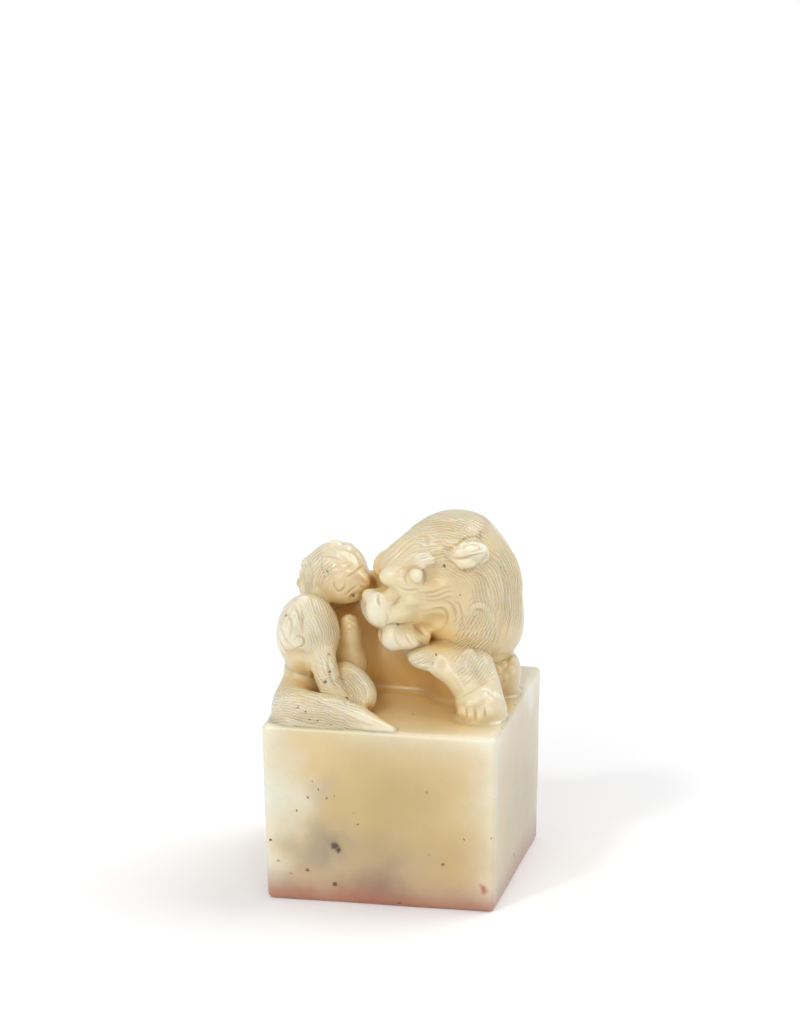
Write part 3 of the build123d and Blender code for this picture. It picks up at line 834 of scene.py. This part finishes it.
            "earRim": ([(335, 578), (334, 586), (339, 592), (345, 587), (344, 579)], 0.22, 0.24),
            "mouth": ([(346, 578), (352, 574), (359, 569), (364, 566)], 0.24, 0.26),
            "cheek": ([(345, 596), (352, 590), (359, 584)], 0.22, 0.2),
            "browEdge": ([(320, 560), (327, 556), (336, 558), (346, 561)], 0.22, 0.22),
            "lock1": ([(308, 560), (312, 570), (312, 580), (309, 590)], 0.22, 0.22),
            "lock2": ([(322, 556), (321, 566), (324, 576), (322, 588)], 0.22, 0.2),
            "beardHair1": ([(360, 578), (365, 582), (371, 583)], 0.18, 0.18),
            "beardHair2": ([(359, 583), (364, 588), (370, 589)], 0.18, 0.18),
        },
        "fans": {
            "napeHair": (
                [(300, 566), (296, 576), (293, 588)],
                [(309, 574), (306, 584), (304, 593)],
                5, 0.18, 0.16,
            ),
            "crownHair": (
                [(306, 558), (315, 550), (326, 545)],
                [(312, 563), (319, 557), (328, 553)],
                4, 0.18, 0.15,
            ),
        },
    },
}


def resized(line, count):  # a line of a few points with another number of them
    line = np.array(line, float)
    ticks = np.linspace(0, len(line) - 1, count)
    return np.column_stack([np.interp(ticks, np.arange(len(line)), line[:, axis]) for axis in (0, 1)])


def model(clay, carving):  # swells and hollows
    for centre, radii, rise, blend in carving["balls"].values():
        points = seen(clay, [centre])
        if len(points):
            clay.ball(points[0] + clay.slopes(points)[0] * (rise - min(radii)), radii, blend=blend)
    for centre, radii, depth, blend in carving["hollows"].values():
        points = seen(clay, [centre])
        if len(points):
            clay.ball(points[0] + clay.slopes(points)[0] * (min(radii) - depth), radii, blend=blend, cut=True)


def engrave(clay, carving):  # ridges first, and then every groove at once
    ridges = []
    for line, radius, rise in carving["ridges"].values():
        ridges += stroke(clay, line, radius, rise - radius)
    if ridges:
        drawStrokes(clay, ridges, ridgeBlend, False)
    clay.whole = clay.field.copy()
    grooves = []
    for line, radius, depth in carving["grooves"].values():
        grooves += stroke(clay, line, radius, radius - depth)
    for first, last, count, radius, depth in carving["fans"].values():
        for index in range(count):
            share = index / (count - 1)
            line = np.array(first, float) * (1 - share) + resized(last, len(first)) * share
            grooves += stroke(clay, line, radius, radius - depth)
    drawStrokes(clay, grooves, grooveBlend, True)


for bodyName, carving in carvings.items():
    model(clays[bodyName], carving)
    growRoots(clays[bodyName], bodies[bodyName])
    engrave(clays[bodyName], carving)
    print("carved", bodyName)

# Wavy hair on the sides that the photograph leaves out. Each line runs down the form between two heights,
# at its own angle round the form's middle, and sways as it goes.
wavyHair = {
    "mane": {
        "body": "motherHead",
        "middle": (7.7, 3.5),
        "reach": 15.0,
        "angles": (2, 215),
        "heights": (55.5, 36.5),
        "count": 64,
        "sway": 4.0,
        "swayLength": 10.0,
        "radius": 0.24,
        "depth": 0.2,
    },
    "leftHaunch": {
        "body": "motherTrunk",
        "middle": (-12.5, 6.5),
        "reach": 9.0,
        "angles": (100, 235),
        "heights": (40.0, 30.0),
        "count": 22,
        "sway": 6.0,
        "swayLength": 12.0,
        "radius": 0.26,
        "depth": 0.2,
    },
    "cubBack": {
        "body": "cub",
        "middle": (-12.5, 3.0),
        "reach": 9.0,
        "angles": (60, 215),
        "heights": (48.0, 42.6),
        "count": 26,
        "sway": 7.0,
        "swayLength": 8.0,
        "radius": 0.2,
        "depth": 0.16,
    },
    "tailBack": {
        "body": "motherTail",
        "middle": (-8.0, -8.0),
        "reach": 14.0,
        "angles": (150, 205),
        "heights": (33.0, 28.6),
        "count": 12,
        "sway": 9.0,
        "swayLength": 9.0,
        "radius": 0.22,
        "depth": 0.18,
    },
}


hairSteps = 60
lockShift = 1.9  # how far the sway shifts from lock to lock, in radians
lockLines = 3.5  # the hairs in which that shift comes and goes, divided by a full turn
rimSlope = 0.4
hairTaper = 0.4


def drawWavyHair(settings):
    clay = clays[settings["body"]]
    heights = np.linspace(*settings["heights"], hairSteps)
    runs = []
    for index in range(settings["count"]):
        share = index / (settings["count"] - 1)
        angle = settings["angles"][0] + (settings["angles"][1] - settings["angles"][0]) * share
        start = lockShift * np.sin(index / lockLines)
        bend = settings["sway"] * np.sin(2 * np.pi * heights / settings["swayLength"] + start)
        turns = np.radians(angle + bend)
        outward = np.column_stack([np.cos(turns), np.sin(turns), np.zeros(len(turns))])
        origins = np.column_stack([np.tile(settings["middle"], (len(heights), 1)), heights])
        points, found = clay.hits(origins + outward * settings["reach"], -outward, 0.0, settings["reach"])
        found &= (clay.slopes(points) * outward).sum(axis=1) > rimSlope  # no hair over a sharp rim
        radius = settings["radius"]
        runs += unbroken(clay, points[found], radius, radius - settings["depth"], hairTaper)
    drawStrokes(clay, runs, grooveBlend, True)


for name, settings in wavyHair.items():
    drawWavyHair(settings)
    print("engraved the hair of the", name)

# The block, with the cut printing face underneath
stoneBlock = {
    "voxel": 0.3,
    "topHalf": 18.28,
    "footHalf": 17.72,
    "rounding": 0.85,
    "reliefDepth": 1.0,
    "field": 14.9,
    "bossRadius": 2.5,
    "petalCount": 8,
    "petalMiddle": 6.2,
    "petalHalves": (4.2, 2.0),
    "leafMiddle": 11.3,
    "leafHalves": (2.6, 1.3),
    "undulation": 0.05,
    "waveLengths": {"x": (3.1, 4.3), "y": (3.7, 5.1)},
    "gridHalf": 19.6,
    "gridMargin": 1.3,
    "cutBlend": 0.25,
}


def ellipseDistance(x, y, halves):
    return (np.sqrt((x / halves[0]) ** 2 + (y / halves[1]) ** 2) - 1) * min(halves)


def blockClay(settings):
    rounding = settings["rounding"]
    side, margin = settings["gridHalf"], settings["gridMargin"]
    clay = Clay((-side, -side, -margin), (side, side, deckHeight + margin), settings["voxel"])
    x, y, z = clay.grid()
    half = settings["footHalf"] + (settings["topHalf"] - settings["footHalf"]) * z / deckHeight
    alongX, alongY = settings["waveLengths"]["x"], settings["waveLengths"]["y"]
    wave = np.sin(x / alongX[0] + z / alongX[1]) * np.sin(y / alongY[0] - z / alongY[1]) - 1
    wave = settings["undulation"] * wave
    across = np.abs(x) - half + rounding - wave
    deep = np.abs(y) - half + rounding - wave
    tall = np.abs(z - deckHeight / 2) - deckHeight / 2 + rounding
    outside = np.sqrt(np.maximum(across, 0) ** 2 + np.maximum(deep, 0) ** 2 + np.maximum(tall, 0) ** 2)
    inside = np.minimum(np.maximum(np.maximum(across, deep), tall), 0)
    clay.field = np.clip(outside + inside - rounding, -clayBand, clayBand).astype(np.float32)
    # the rosette, its corner leaves and the border stand proud of the cut ground
    border = settings["field"] - np.maximum(np.abs(x), np.abs(y))
    proud = np.minimum(np.hypot(x, y) - settings["bossRadius"], border)
    for index in range(settings["petalCount"]):
        turn = 2 * math.pi * index / settings["petalCount"]
        outward = x * math.cos(turn) + y * math.sin(turn) - settings["petalMiddle"]
        aside = y * math.cos(turn) - x * math.sin(turn)
        proud = np.minimum(proud, ellipseDistance(outward, aside, settings["petalHalves"]))
    leaf = ellipseDistance(
        np.abs(x) - settings["leafMiddle"], np.abs(y) - settings["leafMiddle"], settings["leafHalves"]
    )
    proud = np.minimum(proud, leaf)
    ground = np.maximum(z - settings["reliefDepth"], -proud) + 0 * clay.field
    ground = np.clip(ground, -clayBand, clayBand)
    clay.field = -softMin(-clay.field, ground, settings["cutBlend"]).astype(np.float32)
    clay.whole = clay.field
    return clay


clays["sealStone"] = blockClay(stoneBlock)
print("cut the block and its printing face")


# How deep the stone lies behind each point of its surface: low on edges and thin forms, high in hollows
depthGrid = {"voxel": 0.6, "low": (-32.0, -32.0, -14.0), "high": (32.0, 32.0, 70.0), "spread": 3.4}


def stoneDepth(settings):
    space = Clay(settings["low"], settings["high"], settings["voxel"])
    full = np.zeros(space.field.shape, np.float32)
    for clay in clays.values():
        low = np.maximum(np.floor((clay.low - space.low) / space.voxel).astype(int), 0)
        high = low + np.ceil(np.array(clay.field.shape) * clay.voxel / space.voxel).astype(int) + 1
        ticks = [space.low[i] + space.voxel * np.arange(low[i], high[i]) for i in range(3)]
        points = np.stack(np.meshgrid(*ticks, indexing="ij"), axis=-1)
        part = np.clip(0.5 - clay.sample(points) / space.voxel, 0, 1)
        window = tuple(slice(start, stop) for start, stop in zip(low, high))
        full[window] = np.maximum(full[window], part)
    waves = [np.fft.fftfreq(size, space.voxel) for size in full.shape[:2]]
    waves.append(np.fft.rfftfreq(full.shape[2], space.voxel))
    u, v, w = np.meshgrid(*waves, indexing="ij", sparse=True)
    blur = np.exp(-2 * (math.pi * settings["spread"]) ** 2 * (u**2 + v**2 + w**2))
    space.field = np.fft.irfftn(np.fft.rfftn(full) * blur, full.shape).astype(np.float32)
    return space


depthSpace = stoneDepth(depthGrid)
# the shift moves the depth colours toward their painted amber shade
depthShift = {"block": 0.06, "carving": 0.065}  # makes the stone's colours a little deeper
print("measured the depth of the stone")


def addSurfaceNumbers(piece, clay):  # what the stone's finish reads at each point
    points = pointsOf(piece)[0]
    bare = clay in (clays["sealStone"], clays["motherTrunk"])
    shift = depthShift["block" if clay is clays["sealStone"] else "carving"]
    numbers = {
        "furred": np.full(len(points), 0.0 if bare else 1.0),
        "stoneDepth": depthSpace.sample(points) + shift,
        "engraved": np.clip(-clay.sample(points, clay.whole), 0, 1),
    }
    for name, values in numbers.items():
        attribute = piece.data.attributes.new(name, "FLOAT", "POINT")
        attribute.data.foreach_set("value", values.astype(np.float32))


missedPoint = np.array([0.0, 0.0, 10.0])  # stands in for a pixel that shows no stone


def nearestPoint(pixel):  # the stone's surface point behind a pixel of the photograph
    hits = [seen(clay, [pixel]) for clay in clays.values()]
    hits = [hit[0] for hit in hits if len(hit)]
    return min(hits, key=lambda hit: np.linalg.norm(hit - eye.place)) if hits else missedPoint


# The stone's finish, with some painted highlights, painted light and painted shade among its colours. Blotches
# and specks have the pixel that they show at, and radii in millimetres.
stoneFinish = {
    # colours by the stone's depth: painted light on edges and thin forms, pale as if light came through them,
    # and painted amber shade in hollows
    "paintedDepthLightStops": [
        (0.14, (0.930, 0.905, 0.790, 1)),
        (0.30, (0.880, 0.820, 0.650, 1)),
        (0.45, (0.810, 0.680, 0.425, 1)),
        (0.58, (0.800, 0.600, 0.290, 1)),
        (0.75, (0.840, 0.565, 0.215, 1)),
    ],
    "blotches": {
        # partly the stone's own amber, partly painted shade in the front face's middle, where less light comes
        # through than at its edges
        "amberMiddle": ((392, 808), 18.0, (0.540, 0.390, 0.150, 1), 0.72),
        "brownLow": ((388, 876), 11.0, (0.350, 0.250, 0.160, 1), 0.70),
        "amberLowRight": ((456, 868), 9.0, (0.580, 0.360, 0.130, 1), 0.60),
        "greyCloud": ((318, 846), 8.5, (0.360, 0.285, 0.225, 1), 0.68),
        "darkHeart": ((336, 848), 3.4, (0.300, 0.210, 0.130, 1), 0.45),
        "smokeTop": ((321, 791), 4.2, (0.500, 0.450, 0.350, 1), 0.42),
        # painted light: the front face's left edge made pale, as if lit from the left and glowing through the
        # thin stone
        "greenLeft": ((272, 790), 10.0, (0.850, 0.880, 0.800, 1), 0.70),
        # painted light: the front face's right edge made pale, as if light came through the stone there
        "palePost": ((488, 790), 5.0, (0.900, 0.870, 0.740, 1), 0.45),
        "rightShade": ((521, 795), 28.0, (0.480, 0.410, 0.260, 1), 0.66),
        "redMark": ((480, 534), 1.1, (0.260, 0.060, 0.030, 1), 0.85),
        "rustPatch": ((487, 524), 3.0, (0.600, 0.330, 0.150, 1), 0.60),
        # painted highlight on the top right of the mane
        "paleMane": ((497, 530), 4.5, (0.920, 0.890, 0.800, 1), 0.45),
        "cubOchre": ((332, 570), 7.0, (0.740, 0.530, 0.260, 1), 0.55),
        "cubRoot": ((366, 582), 2.6, (0.560, 0.280, 0.130, 1), 0.50),
        "redStar": ((486, 896), 1.0, (0.500, 0.060, 0.040, 1), 0.80),
        # painted highlight on the mother's upper lip
        "paleLip": ((374, 612), 3.4, (0.900, 0.870, 0.720, 1), 0.25),
        # painted highlight on the left of the haunch
        "paleHaunch": ((282, 634), 4.0, (0.920, 0.900, 0.820, 1), 0.60),
        "paleDeck": ((522, 681), 7.5, (0.920, 0.900, 0.810, 1), 0.75),
        "faceTint": ((408, 600), 8.0, (0.850, 0.760, 0.480, 1), 0.35),
        "legTint": ((456, 672), 6.0, (0.830, 0.730, 0.450, 1), 0.38),
        # painted shade: the cub's neck made deep amber where it goes down into the hollow
        "cubThroat": ((345, 600), 4.0, (0.700, 0.470, 0.160, 1), 0.45),
        "paleLow": ((274, 868), 5.5, (0.880, 0.850, 0.730, 1), 0.45),
        "mauveFoot": ((384, 902), 8.0, (0.270, 0.130, 0.095, 1), 0.50),
    },
    "specks": [
        ((334.5, 846), 0.85), ((339, 850), 0.6), ((307, 870), 0.42), ((335, 884), 0.5), ((271, 840), 0.32),
        ((278, 861), 0.24), ((291, 873), 0.2), ((312, 781), 0.2), ((318, 790), 0.26), ((327, 798), 0.3),
        ((308, 797), 0.26), ((334, 796), 0.2), ((297, 811), 0.24), ((358, 825), 0.22), ((443, 865), 0.32),
        ((427, 793), 0.18), ((464, 839), 0.2), ((491, 838), 0.2), ((399, 903), 0.26), ((515.5, 705), 0.34),
        ((325, 682), 0.42), ((328.5, 655), 0.22), ((330, 672), 0.24), ((347, 698), 0.34), ((351, 703), 0.34),
        ((298, 707), 0.24), ((306, 712), 0.26), ((309, 719), 0.22), ((318, 721), 0.26), ((331, 725), 0.2),
        ((353.8, 596), 0.34), ((327.5, 571), 0.24), ((286, 615), 0.3), ((444, 566), 0.3), ((461, 595), 0.22),
        ((474.6, 617), 0.22), ((413, 714), 0.26), ((398, 624), 0.24), ((436, 655), 0.26), ((501, 567), 0.22),
    ],
    # fine hair: where it grows, how far, the middle of its arcs, and its spacing
    "fur": {
        "maneTop": ((452, 532), 9.0, (436, 604), 0.43),
        "maneRight": ((504, 590), 8.5, (436, 604), 0.45),
        "maneLow": ((482, 634), 5.5, (436, 604), 0.44),
        "haunch": ((316, 622), 6.0, (200, 660), 0.41),
        "shin": ((326, 674), 4.5, (240, 716), 0.40),
        "tuft": ((352, 688), 4.0, (332, 703), 0.42),
        "tail": ((312, 708), 10.0, (262, 920), 0.44),
        "cubNape": ((312, 570), 5.5, (352, 592), 0.40),
        "legBack": ((474, 662), 3.6, (410, 604), 0.43),
        "shoulder": ((420, 662), 2.4, (398, 590), 0.40),
    },
    # where the fine hair stops, and how far round it
    "bald": {"face": ((412, 596), 6.5), "jaw": ((404, 634), 4.5), "ears": ((466, 555), 3.0)},
    # clouds have their scale, their detail and, where they push or raise something, how far in millimetres
    "drift": (160, 3.0, 9.0),
    "shiver": (2600, 2.0, 0.9),
    "sway": (330, 1.0, 1.4),
    "ragged": (130, 3.0, 4.0),
    "depthCloud": (95, 3.0),
    "depthChange": 0.10,
    # layers have where they start and end, their strength and their colour
    "foot": (-0.5 * mm, 6.8 * mm, 0.88, (0.400, 0.170, 0.095, 1)),
    "sole": (0.4 * mm, 3.0 * mm, 0.34, (0.560, 0.170, 0.090, 1)),
    "veil": (0.52, 0.72, 0.08, (0.88, 0.86, 0.74, 1)),
    "veilCloud": (60, 5.0),
    "grain": (0.45, 0.75, 0.10, (0.60, 0.46, 0.24, 1)),
    "grainCloud": (700, 4.0),
    # the cut lines darkened: partly dust in them, partly painted shade
    "engraved": (0.04, 0.30, 0.42, (0.470, 0.300, 0.110, 1)),
    # the fine hair's valleys darkened as painted shade, its ridges paled as painted highlight
    "hairValleyShade": (-0.3, -1.0, 0.10, (0.470, 0.300, 0.110, 1)),
    "hairRidgeHighlight": (0.0, 1.0, 0.38, (0.93, 0.90, 0.78, 1)),
    "softEdges": {"fur": 0.55, "bald": 0.75, "speck": 0.35},
    "speckStrength": 0.9,
    "speckColour": (0.070, 0.040, 0.020, 1),
    "scatter": {"scale": 240.0, "edges": (0.035, 0.065), "cloud": (210, 1.0), "rare": (0.60, 0.64)},
    "roughness": {"least": 0.24, "cloud": (300, 3.0), "clouded": 0.14, "engraved": 0.18, "specks": 0.2},
    "relief": {"fine": (900, 3.0), "broad": (240, 2.0), "fineShare": 0.5, "speckPits": 0.6},
    "reliefBump": {"Strength": 0.22, "Distance": 0.12 * mm},
    "hairBump": {"Strength": 0.85, "Distance": 0.08 * mm},
    "stone": {
        "Subsurface Weight": 0.75,
        "Subsurface Radius": (1.0, 0.66, 0.32),
        "Subsurface Scale": 2.0 * mm,
        "IOR": 1.54,
        "Coat Weight": 0.6,
        "Coat Roughness": 0.05,
    },
}


class StoneBoard(Board):
    # The nodes that the stone uses most
    def mixed(self, share, one, other):
        inputs = {0: share, 6: one, 7: other}
        return self.add("ShaderNodeMix", {"data_type": "RGBA", "clamp_factor": True}, inputs, 2)

    def ramp(self, value, start, stop, low=0.0, high=1.0):
        return self.add(
            "ShaderNodeMapRange", {"interpolation_type": "SMOOTHSTEP"}, [value, start, stop, low, high]
        )

    def cloud(self, place, scale, detail, output=0):
        inputs = {"Vector": place, "Scale": scale, "Detail": detail}
        return self.add("ShaderNodeTexNoise", None, inputs, output)

    def stirred(self, place, scale, detail, reach):  # coordinates that soft clouds push about
        push = [self.cloud(place, scale, detail, 1), (0.5, 0.5, 0.5)]
        push = self.add("ShaderNodeVectorMath", {"operation": "SUBTRACT"}, push)
        push = self.add("ShaderNodeVectorMath", {"operation": "SCALE"}, {0: push, 3: reach * mm})
        return self.add("ShaderNodeVectorMath", {"operation": "ADD"}, [place, push])

    def layer(self, under, value, settings, mask=1.0):  # a colour laid over another where a value is high
        start, stop, strength, tint = settings
        return self.mixed(self.ramp(value, start, stop) * mask * strength, under, tint)

    def nearness(self, place, centre, radius, edge=0.0):
        distance = self.add("ShaderNodeVectorMath", {"operation": "DISTANCE"}, [place, tuple(centre)], 1)
        return self.ramp(distance, radius * edge, radius, 1.0, 0.0)

    def number(self, name):
        return self.add("ShaderNodeAttribute", {"attribute_name": name}, None, 2)


def growHair(board, place, drifting, settings):  # the fine hair's waves, and where it grows
    combed = board.stirred(place, *settings["sway"])
    hair, fur = None, None
    for pixel, radius, middle, spacing in settings["fur"].values():
        root = nearestPoint(pixel)
        offset = (np.array(middle) - pixel) / cameraView["pixelsPerMm"]
        arcs = root + eye.turn[:, 0] * offset[0] - eye.turn[:, 1] * offset[1]
        ends = [combed, tuple(arcs * mm)]
        reach = board.add("ShaderNodeVectorMath", {"operation": "DISTANCE"}, ends, 1)
        wave = (reach * (2 * math.pi / (spacing * mm))).maths("SINE")
        grows = board.nearness(drifting, root * mm, radius * mm, settings["softEdges"]["fur"])
        hair = wave if hair is None else board.add("ShaderNodeMix", None, {0: grows, 2: hair, 3: wave})
        fur = grows if fur is None else fur.maths("MAXIMUM", grows)
    for pixel, radius in settings["bald"].values():
        centre = nearestPoint(pixel) * mm
        fur = fur * (1.0 - board.nearness(drifting, centre, radius * mm, settings["softEdges"]["bald"]))
    return hair, fur * board.number("furred")


def scatterSpecks(board, place, shivering, settings):  # the specks of the photograph, and rare ones elsewhere
    specks = None
    for pixel, radius in settings["specks"]:
        centre = nearestPoint(pixel) * mm
        speck = board.nearness(shivering, centre, radius * mm, settings["softEdges"]["speck"])
        specks = speck if specks is None else specks.maths("MAXIMUM", speck)
    scatter = settings["scatter"]
    inputs = {"Vector": shivering, "Scale": scatter["scale"]}
    cells = board.add("ShaderNodeTexVoronoi", None, inputs, 0)
    rare = board.ramp(board.cloud(place, *scatter["cloud"]), *scatter["rare"])
    return specks.maths("MAXIMUM", board.ramp(cells, *scatter["edges"], 1.0, 0.0) * rare)


def stoneMaterial(settings):
    material = bpy.data.materials.new("pale seal stone")
    material.use_nodes = True
    board = StoneBoard(material.node_tree)
    place = board.add("ShaderNodeTexCoord", output=3)
    drifting = board.stirred(place, *settings["drift"])  # so that no blotch is round
    shivering = board.stirred(place, *settings["shiver"])
    change = (board.cloud(place, *settings["depthCloud"]) - 0.5) * settings["depthChange"]
    depth = board.number("stoneDepth") + change
    # colour from the stone's depth: painted light on thin edges and forms, painted amber shade in hollows
    colour = board.add("ShaderNodeValToRGB", {"stops": settings["paintedDepthLightStops"]}, [depth])
    # the blotches: the stone's own patches and marks, and some painted highlights, painted light on edges and
    # painted shade
    for pixel, radius, tint, strength in settings["blotches"].values():
        near = board.nearness(drifting, nearestPoint(pixel) * mm, radius * mm)
        colour = board.mixed(near * strength, colour, tint)
    # the red-brown foot of the block
    scale, detail, rise = settings["ragged"]
    ragged = (board.cloud(place, scale, detail) - 0.5) * (rise * mm)
    height = board.add("ShaderNodeSeparateXYZ", None, [place], 2) + ragged
    for name in ("foot", "sole"):
        start, stop, strength, tint = settings[name]
        colour = board.mixed(board.ramp(height, start, stop, 1.0, 0.0) * strength, colour, tint)
    colour = board.layer(colour, board.cloud(drifting, *settings["veilCloud"]), settings["veil"])
    colour = board.layer(colour, board.cloud(place, *settings["grainCloud"]), settings["grain"])
    # cut lines darker: partly dust, partly painted shade
    colour = board.layer(colour, board.number("engraved"), settings["engraved"])
    hair, fur = growHair(board, place, drifting, settings)
    # painted shade in the fine hair's valleys and painted highlight on its ridges
    colour = board.layer(colour, hair, settings["hairValleyShade"], fur)
    colour = board.layer(colour, hair, settings["hairRidgeHighlight"], fur)
    specks = scatterSpecks(board, place, shivering, settings)
    colour = board.mixed(specks * settings["speckStrength"], colour, settings["speckColour"])
    finish = settings["roughness"]
    engraved = board.ramp(board.number("engraved"), *settings["engraved"][:2])
    rough = finish["least"] + board.cloud(place, *finish["cloud"]) * finish["clouded"]
    rough = rough + engraved * finish["engraved"] + specks * finish["specks"]
    relief = settings["relief"]
    waves = board.cloud(place, *relief["fine"]) * relief["fineShare"] + board.cloud(place, *relief["broad"])
    inputs = {**settings["reliefBump"], "Height": waves - specks * relief["speckPits"]}
    bump = board.add("ShaderNodeBump", None, inputs)
    inputs = {**settings["hairBump"], "Height": hair * fur, "Normal": bump}
    bump = board.add("ShaderNodeBump", None, inputs)
    inputs = {"Base Color": colour, "Roughness": rough, "Normal": bump, **settings["stone"]}
    board.add("ShaderNodeOutputMaterial", None, [board.add("ShaderNodeBsdfPrincipled", None, inputs)])
    return material


stone = stoneMaterial(stoneFinish)
print("mixed the stone's finish")

standsFor = {name: list(settings["forms"]) for name, settings in bodies.items()}
standsFor["sealStone"] = ["seal_block", "seal_face"]
for name, clay in clays.items():
    piece = clay.piece(name)
    addSurfaceNumbers(piece, clay)
    piece.data.materials.append(stone)
    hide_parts(*standsFor[name])
    "polished_stone" if name == "sealStone" else "carved_stone"
    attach(piece, "root")


# Floor, light and camera. The camera sees a white sky, and the stone is lit by a softer one.
studio = {
    "skyStrength": 0.53,
    "floorColour": (0.90, 0.90, 0.91, 1),
    "floorGlow": 0.125,
    "floorReach": 3.0,
    "floorRoughness": 0.9,
    "suns": {
        "right": {"from": (0.48, 0.38, 1.0), "angle": 34, "strength": 0.95},
        "front": {"from": (-0.22, -0.9, 0.55), "angle": 40, "strength": 0.66},
        "sparkle": {"from": (-0.42, -0.8, 1.0), "angle": 6, "strength": 0.42},
        "glint": {"from": (0.30, -0.75, 1.0), "angle": 5, "strength": 0.12},
    },
}


def seenWhite(board):  # 1 for the rays that look straight or through something at the background
    rays = board.add("ShaderNodeLightPath")
    outputs = {output.name: Wire(board, output) for output in rays.socket.node.outputs}
    return outputs["Is Camera Ray"].maths("MAXIMUM", outputs["Is Transmission Ray"])


def layFloor(settings):
    reach = settings["floorReach"]
    corners = [(-reach, -reach, 0), (reach, -reach, 0), (reach, reach, 0), (-reach, reach, 0)]
    mesh = bpy.data.meshes.new("floor")
    mesh.from_pydata(corners, [], [(0, 1, 2, 3)])
    floor = bpy.data.objects.new("floor", mesh)
    bpy.context.scene.collection.objects.link(floor)
    material = bpy.data.materials.new("pale floor")
    material.use_nodes = True
    board = Board(material.node_tree)
    glow = seenWhite(board) * settings["floorGlow"]
    inputs = {
        "Base Color": settings["floorColour"],
        "Roughness": settings["floorRoughness"],
        "Emission Color": (1, 1, 1, 1),
        "Emission Strength": glow,
    }
    board.add("ShaderNodeOutputMaterial", None, [board.add("ShaderNodeBsdfPrincipled", None, inputs)])
    mesh.materials.append(material)


def hangLights(settings):
    world = bpy.data.worlds.new("studio")
    bpy.context.scene.world = world
    world.use_nodes = True
    board = Board(world.node_tree)
    strength = settings["skyStrength"] + seenWhite(board) * (1 - settings["skyStrength"])
    sky = board.add("ShaderNodeBackground", None, {"Color": (1, 1, 1, 1), "Strength": strength})
    board.add("ShaderNodeOutputWorld", None, [sky])
    for name, sun in settings["suns"].items():
        light = bpy.data.lights.new(name, "SUN")
        light.angle = math.radians(sun["angle"])
        light.energy = sun["strength"]
        lamp = bpy.data.objects.new(name, light)
        lamp.location = Vector(sun["from"])
        lamp.rotation_euler = Vector(sun["from"]).to_track_quat("Z", "Y").to_euler()
        bpy.context.scene.collection.objects.link(lamp)


def aimCamera():
    camera = bpy.data.cameras.new("camera")
    camera.sensor_fit = "HORIZONTAL"
    camera.sensor_width = cameraView["sensor"]
    camera.lens = eye.focal / cameraView["frame"][0] * cameraView["sensor"]
    camera.clip_start = 0.01
    viewpoint = bpy.data.objects.new("camera", camera)
    viewpoint.matrix_world = Matrix.Translation(Vector(eye.place * mm)) @ Matrix(eye.turn.tolist()).to_4x4()
    bpy.context.scene.collection.objects.link(viewpoint)
    bpy.context.scene.camera = viewpoint


layFloor(studio)
hangLights(studio)
aimCamera()
bpy.context.scene.view_settings.view_transform = "Standard"
print("laid the floor, hung the lights and aimed the camera")
